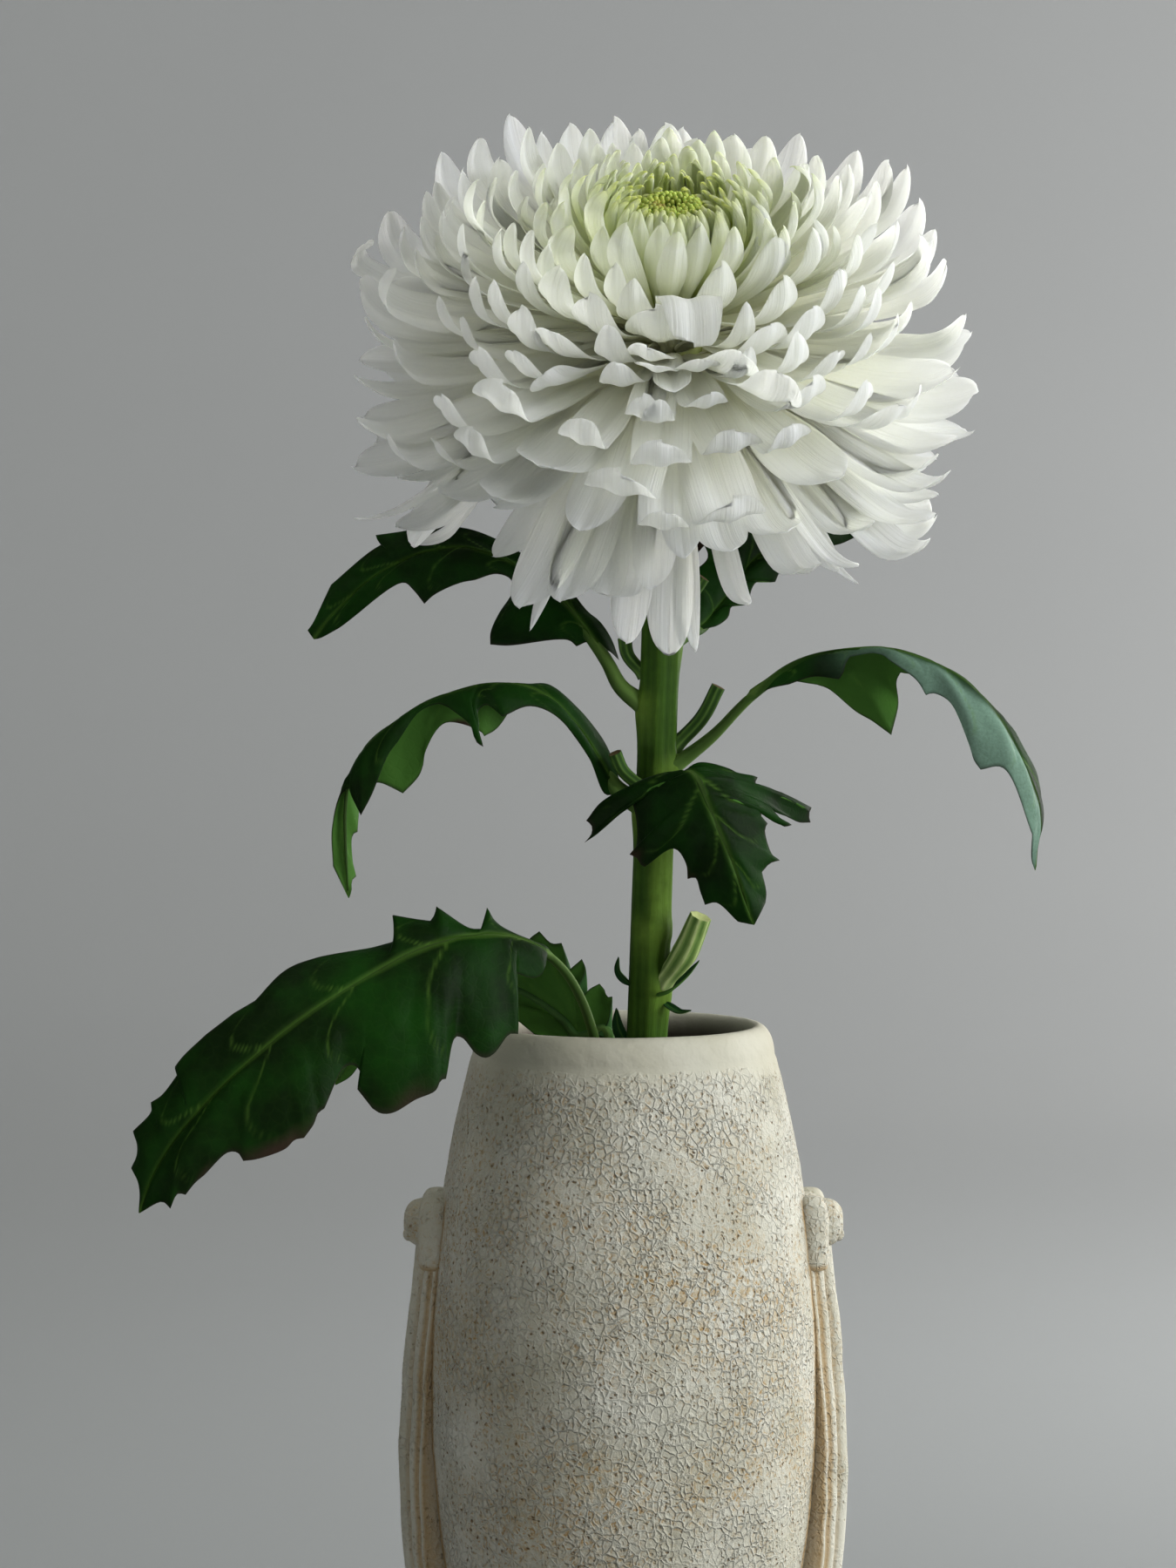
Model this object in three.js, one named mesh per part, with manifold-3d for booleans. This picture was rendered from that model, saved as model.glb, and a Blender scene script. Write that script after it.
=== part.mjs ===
// A cut white chrysanthemum standing in a stoneware vase with a reeded handle on each side.
// Units are millimetres and +Z is up. The origin is the centre of the vase's foot. The bloom nods to the front, -Y.
import * as THREE from "three";
import { mergeVertices } from "three/addons/utils/BufferGeometryUtils.js";
import Module from "manifold-3d";

const wasm = await Module();
wasm.setup();

// ---------------------------------------------------------------- driving dimensions

const CLEARANCE = 0.3; // between any two pieces that touch

const VASE = {
  height: 182,
  bellyRadius: 45.2,
  bellyHeight: 99,
  taper: 0.001766, // how fast the radius falls off with the square of the distance from the belly
  wall: 5.4,
  floor: 7,
  lipRadius: 2.8,
  lipCentre: 31.3, // distance of the rounded lip's centre from the axis
  segments: 36,
};

const HANDLE = {
  // The crest of the middle rib, as height and distance from the vase's axis, from the strap's foot up to the lug.
  crest: [[26, 37.2], [33, 43.4], [45, 49], [60, 51.3], [77, 52], [95, 51.5], [112, 50.1], [133, 47.8]],
  stations: 10,
  ribSpacing: 7,
  ribRadius: 2.7,
  sideRibStep: 3.4, // how much closer to the vase the two outer ribs lie
  relief: 0.8, // the least that any rib stands proud of the wall
  bite: 1.6, // how deep the clay is luted into the wall
  lugHeight: 134.6,
  lugLength: 12,
  lugRadius: 3.3,
  lugDistance: 43.4,
  seatDepth: 6, // the pad of clay behind the lug
  seatHeight: 10,
  knobHeight: 136,
  knobLength: 4,
  knobRadius: 3.7,
  knobDistance: 47,
};

const STEM = {
  path: [
    [-2.4, 9.5, 8.2],
    [1.5, -5, 86],
    [5, -22.4, 178],
    [6.3, -25, 219],
    [7.8, -24.5, 262],
    [8.6, -21.5, 292],
    [8.9, -19.6, 306],
  ],
  footRadius: 4.9,
  neckRadius: 3.9,
  sides: 10,
  stations: 15,
};

const BLOOM = {
  centre: new THREE.Vector3(9.1, -26, 328), // the middle of the receptacle
  nod: 28, // degrees that the bloom's axis leans to the front
  lean: 1.5, // degrees that it leans to the right
  receptacleTop: 22,
  receptacleFoot: -6,
  receptacleTopRadius: 4,
  receptacleFootRadius: 12.4,
  neckFoot: -15,
  discRadius: 8,
  discFoot: 23.4,
  discTop: 43,
};

// The whorls of ray florets, from the middle of the bloom outwards. Each floret leaves the receptacle at one angle
// from the bloom's axis and arrives at its tip at another. The tip is given as distance from the axis and height
// along it. In the last whorl the florets that would lie where the upper leaves pass are missing.
const WHORLS = [
  { count: 14, tip: [11, 45.5], leaves: 6, arrives: -14, halfWidth: 1.9 },
  { count: 15, tip: [18.5, 49.5], leaves: 25, arrives: -4, halfWidth: 2.8 },
  { count: 16, tip: [27.5, 50], leaves: 29, arrives: 4, halfWidth: 3.8 },
  { count: 16, tip: [39, 47], leaves: 36, arrives: 16, halfWidth: 5 },
  { count: 16, tip: [51, 41.5], leaves: 44, arrives: 30, halfWidth: 6 },
  { count: 16, tip: [60.5, 32], leaves: 52, arrives: 44, halfWidth: 6.8 },
  { count: 16, tip: [67, 20], leaves: 61, arrives: 60, halfWidth: 7.4 },
  { count: 16, tip: [69.5, 6.5], leaves: 70, arrives: 78, halfWidth: 7.8 },
  { count: 16, tip: [68.5, -8], leaves: 80, arrives: 96, halfWidth: 7.8 },
  { count: 14, tip: [63.5, -24], leaves: 90, arrives: 116, halfWidth: 7.6 },
  { count: 12, tip: [55, -40], leaves: 96, arrives: 140, halfWidth: 7.2 },
  { count: 9, tip: [40, -53], leaves: 124, arrives: 157, halfWidth: 6.4, missing: [0, 1, 2, 3, 4] },
];

const FLORET = {
  stations: 5,
  thickness: 0.9,
  ringWidth: 1.2,
  ringHeight: 1.5,
  ringSides: 16,
  baseHalfWidth: 1.1,
};

// Each leaf follows its midrib from its foot on the stem to its tip. The foot is given by its height and its
// bearing about the stem, counted from +X towards +Y. Left and right are the half-widths of the blade on the two
// sides of the midrib, spaced evenly from the blade's base to its tip, as seen from above looking towards the tip.
// Across is the direction of the right half before it is folded down. Petiole is the share that is bare stalk.
const LEAVES = {
  leaf_large_lower_left: {
    foot: { height: 163, bearing: 165 },
    midrib: [[-4.8, -20, 173], [-6.9, -22.6, 182], [-9.6, -25.5, 190], [-13.1, -29, 196.5],
      [-17.4, -33, 202], [-25.6, -39, 206], [-36.1, -45, 206.2], [-47.5, -50, 202], [-60.7, -55, 194],
      [-73.7, -60, 184.4], [-86.8, -63, 172.4], [-97.2, -65, 160.3], [-104.7, -66, 149]],
    petiole: 0.26,
    across: [0, 0.65, 0.75],
    right: [2, 7, 4, 9, 8, 7, 10, 11, 10, 8, 6, 1],
    left: [2, 8, 9, 19, 18, 27, 19, 17, 23, 13, 7, 1],
    foldRight: 30,
    foldLeft: 6,
  },
  leaf_lower_back: {
    foot: { height: 160, bearing: 120 },
    midrib: [[-1.4, -9.5, 172], [-4.6, -4, 182], [-12.2, 3, 189], [-21.4, 10, 194],
      [-33.7, 16, 194.6], [-48.1, 20, 189.1], [-59.3, 20, 178.8], [-67.4, 18, 166.3]],
    petiole: 0.24,
    across: [0, 0.65, -0.75],
    right: [2, 9, 6, 12, 9, 12, 10, 10, 8, 6, 4, 1],
    left: [2, 9, 7, 12, 8, 12, 9, 10, 8, 6, 4, 1],
    foldRight: 20,
    foldLeft: 20,
  },
  leaf_front: {
    foot: { height: 206.5, bearing: 276 },
    midrib: [[8.3, -33.6, 217.6], [9.8, -37, 229.5], [11.3, -41, 238.5], [14.3, -45.5, 242.5],
      [18, -49, 236.5], [22.9, -52, 226.5], [27.5, -53, 216], [30.6, -52, 207.5]],
    petiole: 0.46,
    across: [-0.93, -0.1, -0.35],
    right: [2, 6, 19, 25, 16, 10, 12, 9, 8, 7, 4, 1],
    left: [2, 6, 16, 22, 14, 12, 16, 12, 13, 9, 5, 1],
    foldRight: 22,
    foldLeft: 16,
  },
  leaf_left: {
    foot: { height: 234, bearing: 202 },
    midrib: [[-2.4, -28.5, 240.1], [-5.3, -29.5, 246.6], [-9.6, -30.5, 253.5], [-15, -31.5, 258.4],
      [-22.8, -33, 260.8], [-32.4, -35, 260.9], [-42.1, -36, 258], [-51.7, -37, 252.3], [-58.5, -37, 244.5],
      [-62.7, -36, 234.4], [-64.1, -34, 224.5], [-62.6, -33, 212.4]],
    petiole: 0.16,
    across: [0, 1, 0],
    right: [2, 4, 5, 9, 13, 8, 12, 13, 9, 11, 7, 1],
    left: [2, 3, 4, 6, 8, 6, 12, 16, 8, 12, 7, 1],
    foldRight: 50,
    foldLeft: 62,
  },
  leaf_right: {
    foot: { height: 242.5, bearing: 343 },
    midrib: [[20.1, -27, 250], [28.3, -28, 258.9], [36.6, -30, 265.6], [46.1, -33, 268.2],
      [56.6, -36, 269.3], [66.1, -38, 267.4], [74.7, -40, 260.7], [81.8, -41, 252.1], [86.8, -41, 243.4],
      [90.5, -40, 233.6], [91.3, -38, 220.9]],
    petiole: 0.2,
    across: [0, -1, 0],
    right: [2, 3, 5, 9, 19, 8, 10, 14, 9, 7, 5, 1],
    left: [2, 4, 7, 12, 8, 14, 9, 12, 14, 8, 5, 1],
    foldRight: 64,
    foldLeft: 40,
  },
  leaf_upper_left: {
    foot: { height: 256.5, bearing: 194 },
    midrib: [[-0.8, -25.5, 260.5], [-3.6, -23.5, 265.5], [-6.8, -18, 270], [-15.1, -8, 276],
      [-25.1, 1, 281.4], [-37.2, 8, 284.6], [-49.4, 11, 283.6], [-61.5, 11, 278], [-71.7, 8, 270.2]],
    petiole: 0.2,
    across: [0, 0.6, 0.8],
    right: [2, 6, 9, 8, 6, 8, 9, 9, 8, 7, 5, 1],
    left: [2, 5, 14, 13, 4, 5, 8, 5, 6, 5, 3, 1],
    foldRight: 14,
    foldLeft: 14,
  },
  leaf_upper_right: {
    foot: { height: 271, bearing: 30 },
    midrib: [[17.5, -15, 274], [25.3, -5, 281], [36.4, 4, 286.3], [48.5, 11, 289.5], [56, 14, 288]],
    petiole: 0.2,
    across: [0, -0.6, -0.8],
    right: [2, 6, 9, 7, 5, 7, 5, 6, 5, 4, 3, 1],
    left: [2, 4, 5, 6, 5, 7, 6, 7, 5, 5, 3, 1],
    foldRight: 10,
    foldLeft: 10,
  },
};

const LEAF = {
  petioleStations: 4,
  bladeStations: 13,
  petioleHalf: 1.8,
  petioleDepth: 1.8,
  bladeDepth: 1,
  edge: 0.45,
};

// Stubs of cut side shoots and the small leaflets beside them. Each has a foot on the stem, as the leaves have,
// then a path, and its radii spaced evenly from foot to end.
const SHOOTS = {
  side_shoot_lower: {
    foot: { height: 193.5, bearing: 325 },
    path: [[13.4, -30, 200.8], [17, -32.5, 209.4]],
    radii: [3.1, 3.5],
  },
  side_shoot_left: {
    foot: { height: 237.5, bearing: 225 },
    path: [[-0.4, -31.4, 242], [-2.2, -32.6, 246]],
    radii: [1.4, 1.5],
  },
  side_shoot_right: {
    foot: { height: 246.2, bearing: 18 },
    path: [[17.4, -23.4, 253.4], [21.1, -24.2, 260.5]],
    radii: [1.7, 1.6],
  },
  side_shoot_upper_left: {
    foot: { height: 263.2, bearing: 176 },
    path: [[0.8, -23.8, 267.5], [0, -23.6, 271.5]],
    radii: [1.4, 1.6],
  },
  side_shoot_upper_right: {
    foot: { height: 278.3, bearing: 327 },
    path: [[15.2, -27, 281.6], [17.6, -27.6, 285]],
    radii: [1.5, 1.5],
  },
};
const SHOOT_STATIONS = 4;
const SHOOT_SIDES = 7;

const LEAFLETS = {
  leaflet_lower_shoot: {
    foot: { height: 191, bearing: 300 },
    path: [[10.2, -33.2, 192.6], [13.6, -36, 196], [16.6, -37.2, 200]],
    radii: [0.8, 1.8, 0.4],
  },
  leaflet_shoot_foot: {
    foot: { height: 189.5, bearing: 318 },
    path: [[12.4, -29.6, 187.6], [15, -31, 188.2]],
    radii: [0.7, 1, 0.3],
  },
  leaflet_stem_left: {
    foot: { height: 193.4, bearing: 200 },
    path: [[-1.2, -25.8, 196.4], [-1.4, -26.4, 199.8]],
    radii: [0.7, 1.2, 0.3],
  },
  leaflet_at_lip: {
    foot: { height: 178.5, bearing: 150 },
    path: [[-1.2, -19, 183], [-1.8, -18.2, 187.4]],
    radii: [0.8, 1.6, 0.3],
  },
  leaflet_withered: {
    foot: { height: 288.5, bearing: 5 },
    path: [[16.8, -20, 293], [21, -17.4, 296.5]],
    radii: [0.7, 1.8, 0.4],
  },
};
const LEAFLET_STATIONS = 5;
const LEAFLET_SIDES = 5;

const COLOURS = {
  petal: "#eef0e6",
  discGreen: "#a8b94a",
  bract: "#5d7a3a",
  stem: "#47662c",
  leaf: "#17391d",
  stoneware: "#cfc6b2",
};

// ---------------------------------------------------------------- shared geometry

const radians = THREE.MathUtils.degToRad;
const vector = ([x, y, z]) => new THREE.Vector3(x, y, z);

/** Gives a closed triangle mesh as a manifold-3d solid, turned to face outwards. */
function solidOf(geometry) {
  const bare = new THREE.BufferGeometry().setAttribute("position", geometry.getAttribute("position"));
  if (geometry.index) bare.setIndex(geometry.index);
  const merged = mergeVertices(bare, 1e-4);
  const corners = merged.attributes.position.array;
  const found = [...merged.index.array];
  const triangles = [];
  for (let i = 0; i < found.length; i += 3) {
    const [a, b, c] = found.slice(i, i + 3);
    if (a !== b && b !== c && c !== a) triangles.push(a, b, c);
  }
  const make = (list) =>
    new wasm.Manifold(new wasm.Mesh({ numProp: 3, vertProperties: corners, triVerts: new Uint32Array(list) }));
  const made = make(triangles);
  return made.volume() > 0 ? made : make(triangles.reverse());
}

/** Gives a manifold-3d solid as a three.js geometry with its own normals. */
function geometryOf(solid) {
  const mesh = solid.getMesh();
  const geometry = new THREE.BufferGeometry();
  geometry.setAttribute("position", new THREE.BufferAttribute(mesh.vertProperties, mesh.numProp));
  geometry.setIndex(new THREE.BufferAttribute(mesh.triVerts, 1));
  geometry.computeVertexNormals();
  return geometry;
}

/** Skins a row of closed sections, each with the same number of points, and closes both ends. */
function loft(sections) {
  const across = sections[0].length;
  const corners = sections.flat().flatMap((p) => [p.x, p.y, p.z]);
  const triangles = [];
  for (let row = 0; row < sections.length - 1; row++) {
    for (let i = 0; i < across; i++) {
      const a = row * across + i;
      const b = row * across + ((i + 1) % across);
      triangles.push(a, b, b + across, a, b + across, a + across);
    }
  }
  const last = (sections.length - 1) * across;
  for (let i = 1; i < across - 1; i++) {
    triangles.push(0, i + 1, i, last, last + i, last + i + 1);
  }
  const geometry = new THREE.BufferGeometry();
  geometry.setAttribute("position", new THREE.Float32BufferAttribute(corners, 3));
  return geometry.setIndex(triangles);
}

/** A lathe profile of [radius, height] points, turned about +Z. */
function turned(profile, segments) {
  const points = profile.map(([radius, height]) => new THREE.Vector2(radius, height));
  return new THREE.LatheGeometry(points, segments).rotateX(Math.PI / 2);
}

/** Reads a row of figures at a share of the way along it, in straight steps. */
function along(figures, share) {
  const place = share * (figures.length - 1);
  const before = Math.min(Math.floor(place), figures.length - 2);
  return THREE.MathUtils.lerp(figures[before], figures[before + 1], place - before);
}

/** A smooth curve through a list of points. */
const smooth = (points) => new THREE.CatmullRomCurve3(points.map(vector), false, "centripetal");

/** A round tube along a path, whose radius follows a function of the share of its length. */
function tube(path, stations, sides, radiusAt) {
  const curve = smooth(path);
  const sections = [];
  for (let i = 0; i < stations; i++) {
    const share = i / (stations - 1);
    const forward = curve.getTangentAt(share);
    const first = new THREE.Vector3(0, -1, 0).cross(forward).normalize();
    const second = forward.clone().cross(first);
    const centre = curve.getPointAt(share);
    const ring = [];
    for (let side = 0; side < sides; side++) {
      const angle = (2 * Math.PI * side) / sides;
      const reach = first.clone().multiplyScalar(Math.cos(angle)).addScaledVector(second, Math.sin(angle));
      ring.push(centre.clone().addScaledVector(reach, radiusAt(share)));
    }
    sections.push(ring);
  }
  return loft(sections);
}

// ---------------------------------------------------------------- the vase

/** The vase's outer radius at a height. */
function bodyRadius(height) {
  return VASE.bellyRadius - VASE.taper * (height - VASE.bellyHeight) ** 2;
}

/** The turned body: a barrel with a rounded lip, open at the top. */
function vaseBody() {
  const lipHeight = VASE.height - VASE.lipRadius;
  const shoulder = lipHeight - 4;
  const steps = 8;
  const footRound = 1.5;
  const profile = [[0, 0], [bodyRadius(0) - footRound, 0]];
  for (let i = 0; i <= steps; i++) {
    const height = THREE.MathUtils.lerp(footRound, shoulder, i / steps);
    profile.push([bodyRadius(height), height]);
  }
  for (const degrees of [0, 45, 90, 135, 180]) {
    const reach = VASE.lipRadius * Math.cos(radians(degrees));
    profile.push([VASE.lipCentre + reach, lipHeight + VASE.lipRadius * Math.sin(radians(degrees))]);
  }
  const innerSteps = 5;
  for (let i = innerSteps; i >= 0; i--) {
    const height = THREE.MathUtils.lerp(VASE.floor, shoulder, i / innerSteps);
    profile.push([bodyRadius(height) - VASE.wall, height]);
  }
  profile.push([0, VASE.floor]);
  return solidOf(turned(profile, VASE.segments));
}

/** The reeded strap on one side: a middle rib and a lower rib either side of it, dying into the wall at the foot. */
function strap(side) {
  const crest = new THREE.SplineCurve(HANDLE.crest.map((point) => new THREE.Vector2(...point)));
  const edge = HANDLE.ribSpacing + HANDLE.ribRadius;
  const sections = [];
  for (let i = 0; i < HANDLE.stations; i++) {
    const { x: height, y: middle } = crest.getPoint(i / (HANDLE.stations - 1));
    const wall = (across) => Math.sqrt(bodyRadius(height) ** 2 - across ** 2);
    const proud = (across, distance) => [across, Math.max(distance, wall(across) + HANDLE.relief)];
    const outer = middle - HANDLE.sideRibStep;
    const half = [
      proud(HANDLE.ribRadius * 0.7, middle - HANDLE.ribRadius * 0.3),
      proud(HANDLE.ribSpacing / 2, outer - HANDLE.ribRadius * 0.6),
      proud(HANDLE.ribSpacing - 1, outer),
      proud(HANDLE.ribSpacing + 1, outer),
      proud(edge, outer - HANDLE.ribRadius),
      [edge, wall(edge) - HANDLE.bite],
    ];
    const front = half.map(([across, distance]) => [-across, distance]).reverse();
    const outline = [...front, proud(0, middle), ...half];
    sections.push(outline.map(([across, distance]) => new THREE.Vector3(side * distance, across, height)));
  }
  return solidOf(loft(sections));
}

/** The lug where a strap starts: two upright rolls with a knob between them. */
function lug(side) {
  const roll = (across) =>
    new THREE.CapsuleGeometry(HANDLE.lugRadius, HANDLE.lugLength, 3, 8)
      .rotateX(Math.PI / 2)
      .translate(side * HANDLE.lugDistance, across, HANDLE.lugHeight);
  const knob = new THREE.CapsuleGeometry(HANDLE.knobRadius, HANDLE.knobLength, 3, 8)
    .rotateX(Math.PI / 2)
    .translate(side * HANDLE.knobDistance, 0, HANDLE.knobHeight);
  const seat = new THREE.BoxGeometry(HANDLE.seatDepth, 2 * HANDLE.ribSpacing, HANDLE.seatHeight)
    .translate(side * (HANDLE.lugDistance - 2), 0, HANDLE.lugHeight);
  const pieces = [roll(-HANDLE.ribSpacing), roll(HANDLE.ribSpacing), knob, seat];
  return pieces.map(solidOf).reduce((a, b) => a.add(b));
}

/** The whole vase, thrown and luted as one piece. The hollow is cut clear of the handles' clay. */
function vaseSolid() {
  const handles = [-1, 1].map((side) => strap(side).add(lug(side))).reduce((a, b) => a.add(b));
  const steps = 5;
  const hollow = [[0, VASE.floor]];
  for (let i = 0; i <= steps; i++) {
    const height = THREE.MathUtils.lerp(VASE.floor, VASE.height - 8, i / steps);
    hollow.push([bodyRadius(height) - VASE.wall + 0.8, height]);
  }
  hollow.push([0, VASE.height - 8]);
  return vaseBody().add(handles.subtract(solidOf(turned(hollow, VASE.segments))));
}

// ---------------------------------------------------------------- stem and bloom

/** The bloom's own group: its axis is local +Z, and its origin is the middle of the receptacle. */
const bloom = new THREE.Group();
bloom.position.copy(BLOOM.centre);
bloom.rotation.set(radians(BLOOM.nod), radians(BLOOM.lean), 0);
bloom.updateMatrix();

/** The receptacle's radius at a height along the bloom's axis. */
function receptacleRadius(height) {
  const share = (height - BLOOM.receptacleFoot) / (BLOOM.receptacleTop - BLOOM.receptacleFoot);
  return THREE.MathUtils.lerp(BLOOM.receptacleFootRadius, BLOOM.receptacleTopRadius, share);
}

const neck = new THREE.Vector3(0, 0, BLOOM.neckFoot + 2).applyMatrix4(bloom.matrix);

/** The stem's path, from its foot in the vase to the neck of the bloom. */
const stemPath = [...STEM.path, neck.toArray()];

/** The stem's radius at a share of its length. */
const stemRadius = (share) => THREE.MathUtils.lerp(STEM.footRadius, STEM.neckRadius, share);

/** The stem with the receptacle that it swells into, which grew as one piece. */
function stemSolid() {
  const stalk = solidOf(tube(stemPath, STEM.stations, STEM.sides, stemRadius));
  const profile = [
    [0, BLOOM.neckFoot],
    [STEM.neckRadius, BLOOM.neckFoot],
    [BLOOM.receptacleFootRadius - 1.5, BLOOM.receptacleFoot - 1.5],
    [BLOOM.receptacleFootRadius, BLOOM.receptacleFoot],
    [BLOOM.receptacleTopRadius, BLOOM.receptacleTop],
    [0, BLOOM.receptacleTop + 1],
  ];
  return stalk.add(solidOf(turned(profile, FLORET.ringSides).applyMatrix4(bloom.matrix)));
}

/** A piece's path from the stem outwards, with its foot first: the foot's edge stands clear of the stem's surface. */
function grownPath({ height, bearing }, path, radius) {
  const curve = smooth(stemPath);
  let low = 0;
  let high = 1;
  while (high - low > 1e-4) {
    const middle = (low + high) / 2;
    if (curve.getPointAt(middle).z < height) low = middle;
    else high = middle;
  }
  const out = new THREE.Vector3(Math.cos(radians(bearing)), Math.sin(radians(bearing)), 0);
  const foot = curve.getPointAt(low).addScaledVector(out, stemRadius(low) + CLEARANCE);
  const heading = vector(path[0]).sub(foot).normalize();
  const reach = radius * Math.abs(heading.dot(curve.getTangentAt(low))) + 0.1;
  return [foot.addScaledVector(out, reach).toArray(), ...path];
}

/** The cup of green bracts under the florets. */
function involucreSolid() {
  const inner = [
    [STEM.neckRadius + 3, BLOOM.neckFoot + 2.6],
    [BLOOM.receptacleFootRadius - 1.2, BLOOM.receptacleFoot - 2],
  ];
  const thickness = 1.3;
  const profile = [
    inner[0],
    [inner[0][0] + thickness, inner[0][1] - 0.6],
    [inner[1][0] + thickness, inner[1][1] - thickness],
    inner[1],
    inner[0],
  ];
  return solidOf(turned(profile, FLORET.ringSides));
}

/** The button of unopened florets in the middle: a dome with a dimple in its top. */
function discSolid() {
  const profile = [
    [0, BLOOM.discFoot],
    [3.4, BLOOM.discFoot],
    [BLOOM.discRadius, BLOOM.discTop - 7],
    [BLOOM.discRadius - 0.8, BLOOM.discTop - 1],
    [BLOOM.discRadius - 3, BLOOM.discTop],
    [0, BLOOM.discTop - 4],
  ];
  return solidOf(turned(profile, FLORET.ringSides));
}

/** The line that a whorl's florets follow, as distance from the bloom's axis and height along it. */
function floretLine(whorl, order) {
  const pitch = (BLOOM.receptacleTop - BLOOM.receptacleFoot) / WHORLS.length;
  const height = BLOOM.receptacleTop - (order + 0.5) * pitch;
  const start = new THREE.Vector2(receptacleRadius(height - FLORET.ringHeight / 2) + CLEARANCE, height);
  const tip = new THREE.Vector2(...whorl.tip);
  const heading = (degrees) => new THREE.Vector2(Math.sin(radians(degrees)), Math.cos(radians(degrees)));
  const reach = start.distanceTo(tip);
  const out = start.clone().addScaledVector(heading(whorl.leaves), reach * 0.38);
  const back = tip.clone().addScaledVector(heading(whorl.arrives), -reach * 0.34);
  return { start, curve: new THREE.CubicBezierCurve(start, out, back, tip) };
}

/** How wide a floret is, as a share of its fullest, along its length. */
const floretShape = (share) => along([0.16, 0.42, 0.72, 0.96, 1, 0.14], share);

/** One whorl of ray florets, joined at the ring where they sit on the receptacle. */
function whorlSolid(whorl, order) {
  const { start, curve } = floretLine(whorl, order);
  const half = FLORET.ringHeight / 2;
  const ring = solidOf(
    turned(
      [
        [start.x, start.y - half],
        [start.x + FLORET.ringWidth, start.y - half],
        [start.x + FLORET.ringWidth, start.y + half],
        [start.x, start.y + half],
        [start.x, start.y - half],
      ],
      FLORET.ringSides,
    ),
  );
  const inset = 0.5 / curve.getLength(); // the florets start inside the ring
  const sections = [];
  for (let i = 0; i < FLORET.stations; i++) {
    const share = THREE.MathUtils.lerp(inset, 1, i / (FLORET.stations - 1));
    const place = curve.getPointAt(share);
    const heading = curve.getTangentAt(share);
    const width = Math.max(whorl.halfWidth * floretShape(share), i ? 0.4 : FLORET.baseHalfWidth);
    const sag = Math.hypot(place.x, width) - place.x;
    const edge = place.x - sag / 2;
    const keel = new THREE.Vector2(heading.y, -heading.x).multiplyScalar(FLORET.thickness).add(place);
    sections.push([
      new THREE.Vector3(edge, -width, place.y),
      new THREE.Vector3(keel.x, 0, keel.y),
      new THREE.Vector3(edge, width, place.y),
    ]);
  }
  const floret = loft(sections);
  const turn = (2 * Math.PI) / whorl.count;
  let made = ring;
  for (let i = 0; i < whorl.count; i++) {
    if (whorl.missing?.includes(i)) continue;
    made = made.add(solidOf(floret.clone().rotateZ((i + (order % 2) / 2) * turn)));
  }
  return made;
}

// ---------------------------------------------------------------- leaves and side shoots

/** A leaf as one loft: a round petiole that thins into a lobed blade, folded along its midrib. */
function leafSolid(leaf) {
  const curve = smooth(grownPath(leaf.foot, leaf.midrib, LEAF.petioleHalf + 0.1));
  const shares = [];
  for (let i = 0; i < LEAF.petioleStations; i++) shares.push((leaf.petiole * i) / LEAF.petioleStations);
  for (let i = 0; i < LEAF.bladeStations; i++) {
    shares.push(THREE.MathUtils.lerp(leaf.petiole, 1, i / (LEAF.bladeStations - 1)));
  }
  const sections = shares.map((share) => {
    const bladeShare = Math.max(0, (share - leaf.petiole) / (1 - leaf.petiole));
    const spread = Math.min(1, 6 * bladeShare);
    const forward = curve.getTangentAt(share);
    const upward = vector(leaf.across).cross(forward).normalize();
    const right = forward.clone().cross(upward);
    const centre = curve.getPointAt(share);
    const depth = THREE.MathUtils.lerp(LEAF.petioleDepth, LEAF.bladeDepth, spread);
    const edge = THREE.MathUtils.lerp(LEAF.petioleDepth * 0.6, LEAF.edge, spread);
    const reach = (figures, fold, way) => {
      const width = bladeShare > 0 ? along(figures, bladeShare) : LEAF.petioleHalf;
      const angle = radians(fold) * spread;
      return centre
        .clone()
        .addScaledVector(right, way * width * Math.cos(angle))
        .addScaledVector(upward, -width * Math.sin(angle));
    };
    const leftEdge = reach(leaf.left, leaf.foldLeft, -1);
    const rightEdge = reach(leaf.right, leaf.foldRight, 1);
    const raised = (point, height) => point.clone().addScaledVector(upward, height);
    return [
      raised(leftEdge, edge),
      raised(leftEdge, -edge),
      raised(centre, -depth),
      raised(rightEdge, -edge),
      raised(rightEdge, edge),
      raised(centre, depth),
    ];
  });
  return solidOf(loft(sections));
}

/** A side shoot or a leaflet: a tapering spindle from its foot on the stem. */
function spindleSolid({ foot, path, radii }, stations, sides) {
  return solidOf(tube(grownPath(foot, path, radii[0]), stations, sides, (share) => along(radii, share)));
}

// ---------------------------------------------------------------- assembly

const materials = {
  petal: new THREE.MeshStandardMaterial({ color: COLOURS.petal, roughness: 0.55, metalness: 0 }),
  disc: new THREE.MeshStandardMaterial({ color: COLOURS.discGreen, roughness: 0.5, metalness: 0 }),
  bract: new THREE.MeshStandardMaterial({ color: COLOURS.bract, roughness: 0.6, metalness: 0 }),
  stem: new THREE.MeshStandardMaterial({ color: COLOURS.stem, roughness: 0.55, metalness: 0 }),
  leaf: new THREE.MeshStandardMaterial({ color: COLOURS.leaf, roughness: 0.5, metalness: 0 }),
  stoneware: new THREE.MeshStandardMaterial({ color: COLOURS.stoneware, roughness: 0.85, metalness: 0 }),
};

const part = new THREE.Group();
part.add(bloom);

/** Adds a solid to a group as one named mesh. */
function addPiece(group, name, solid, material) {
  const mesh = new THREE.Mesh(geometryOf(solid), material.clone());
  mesh.name = name;
  group.add(mesh);
}

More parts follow.
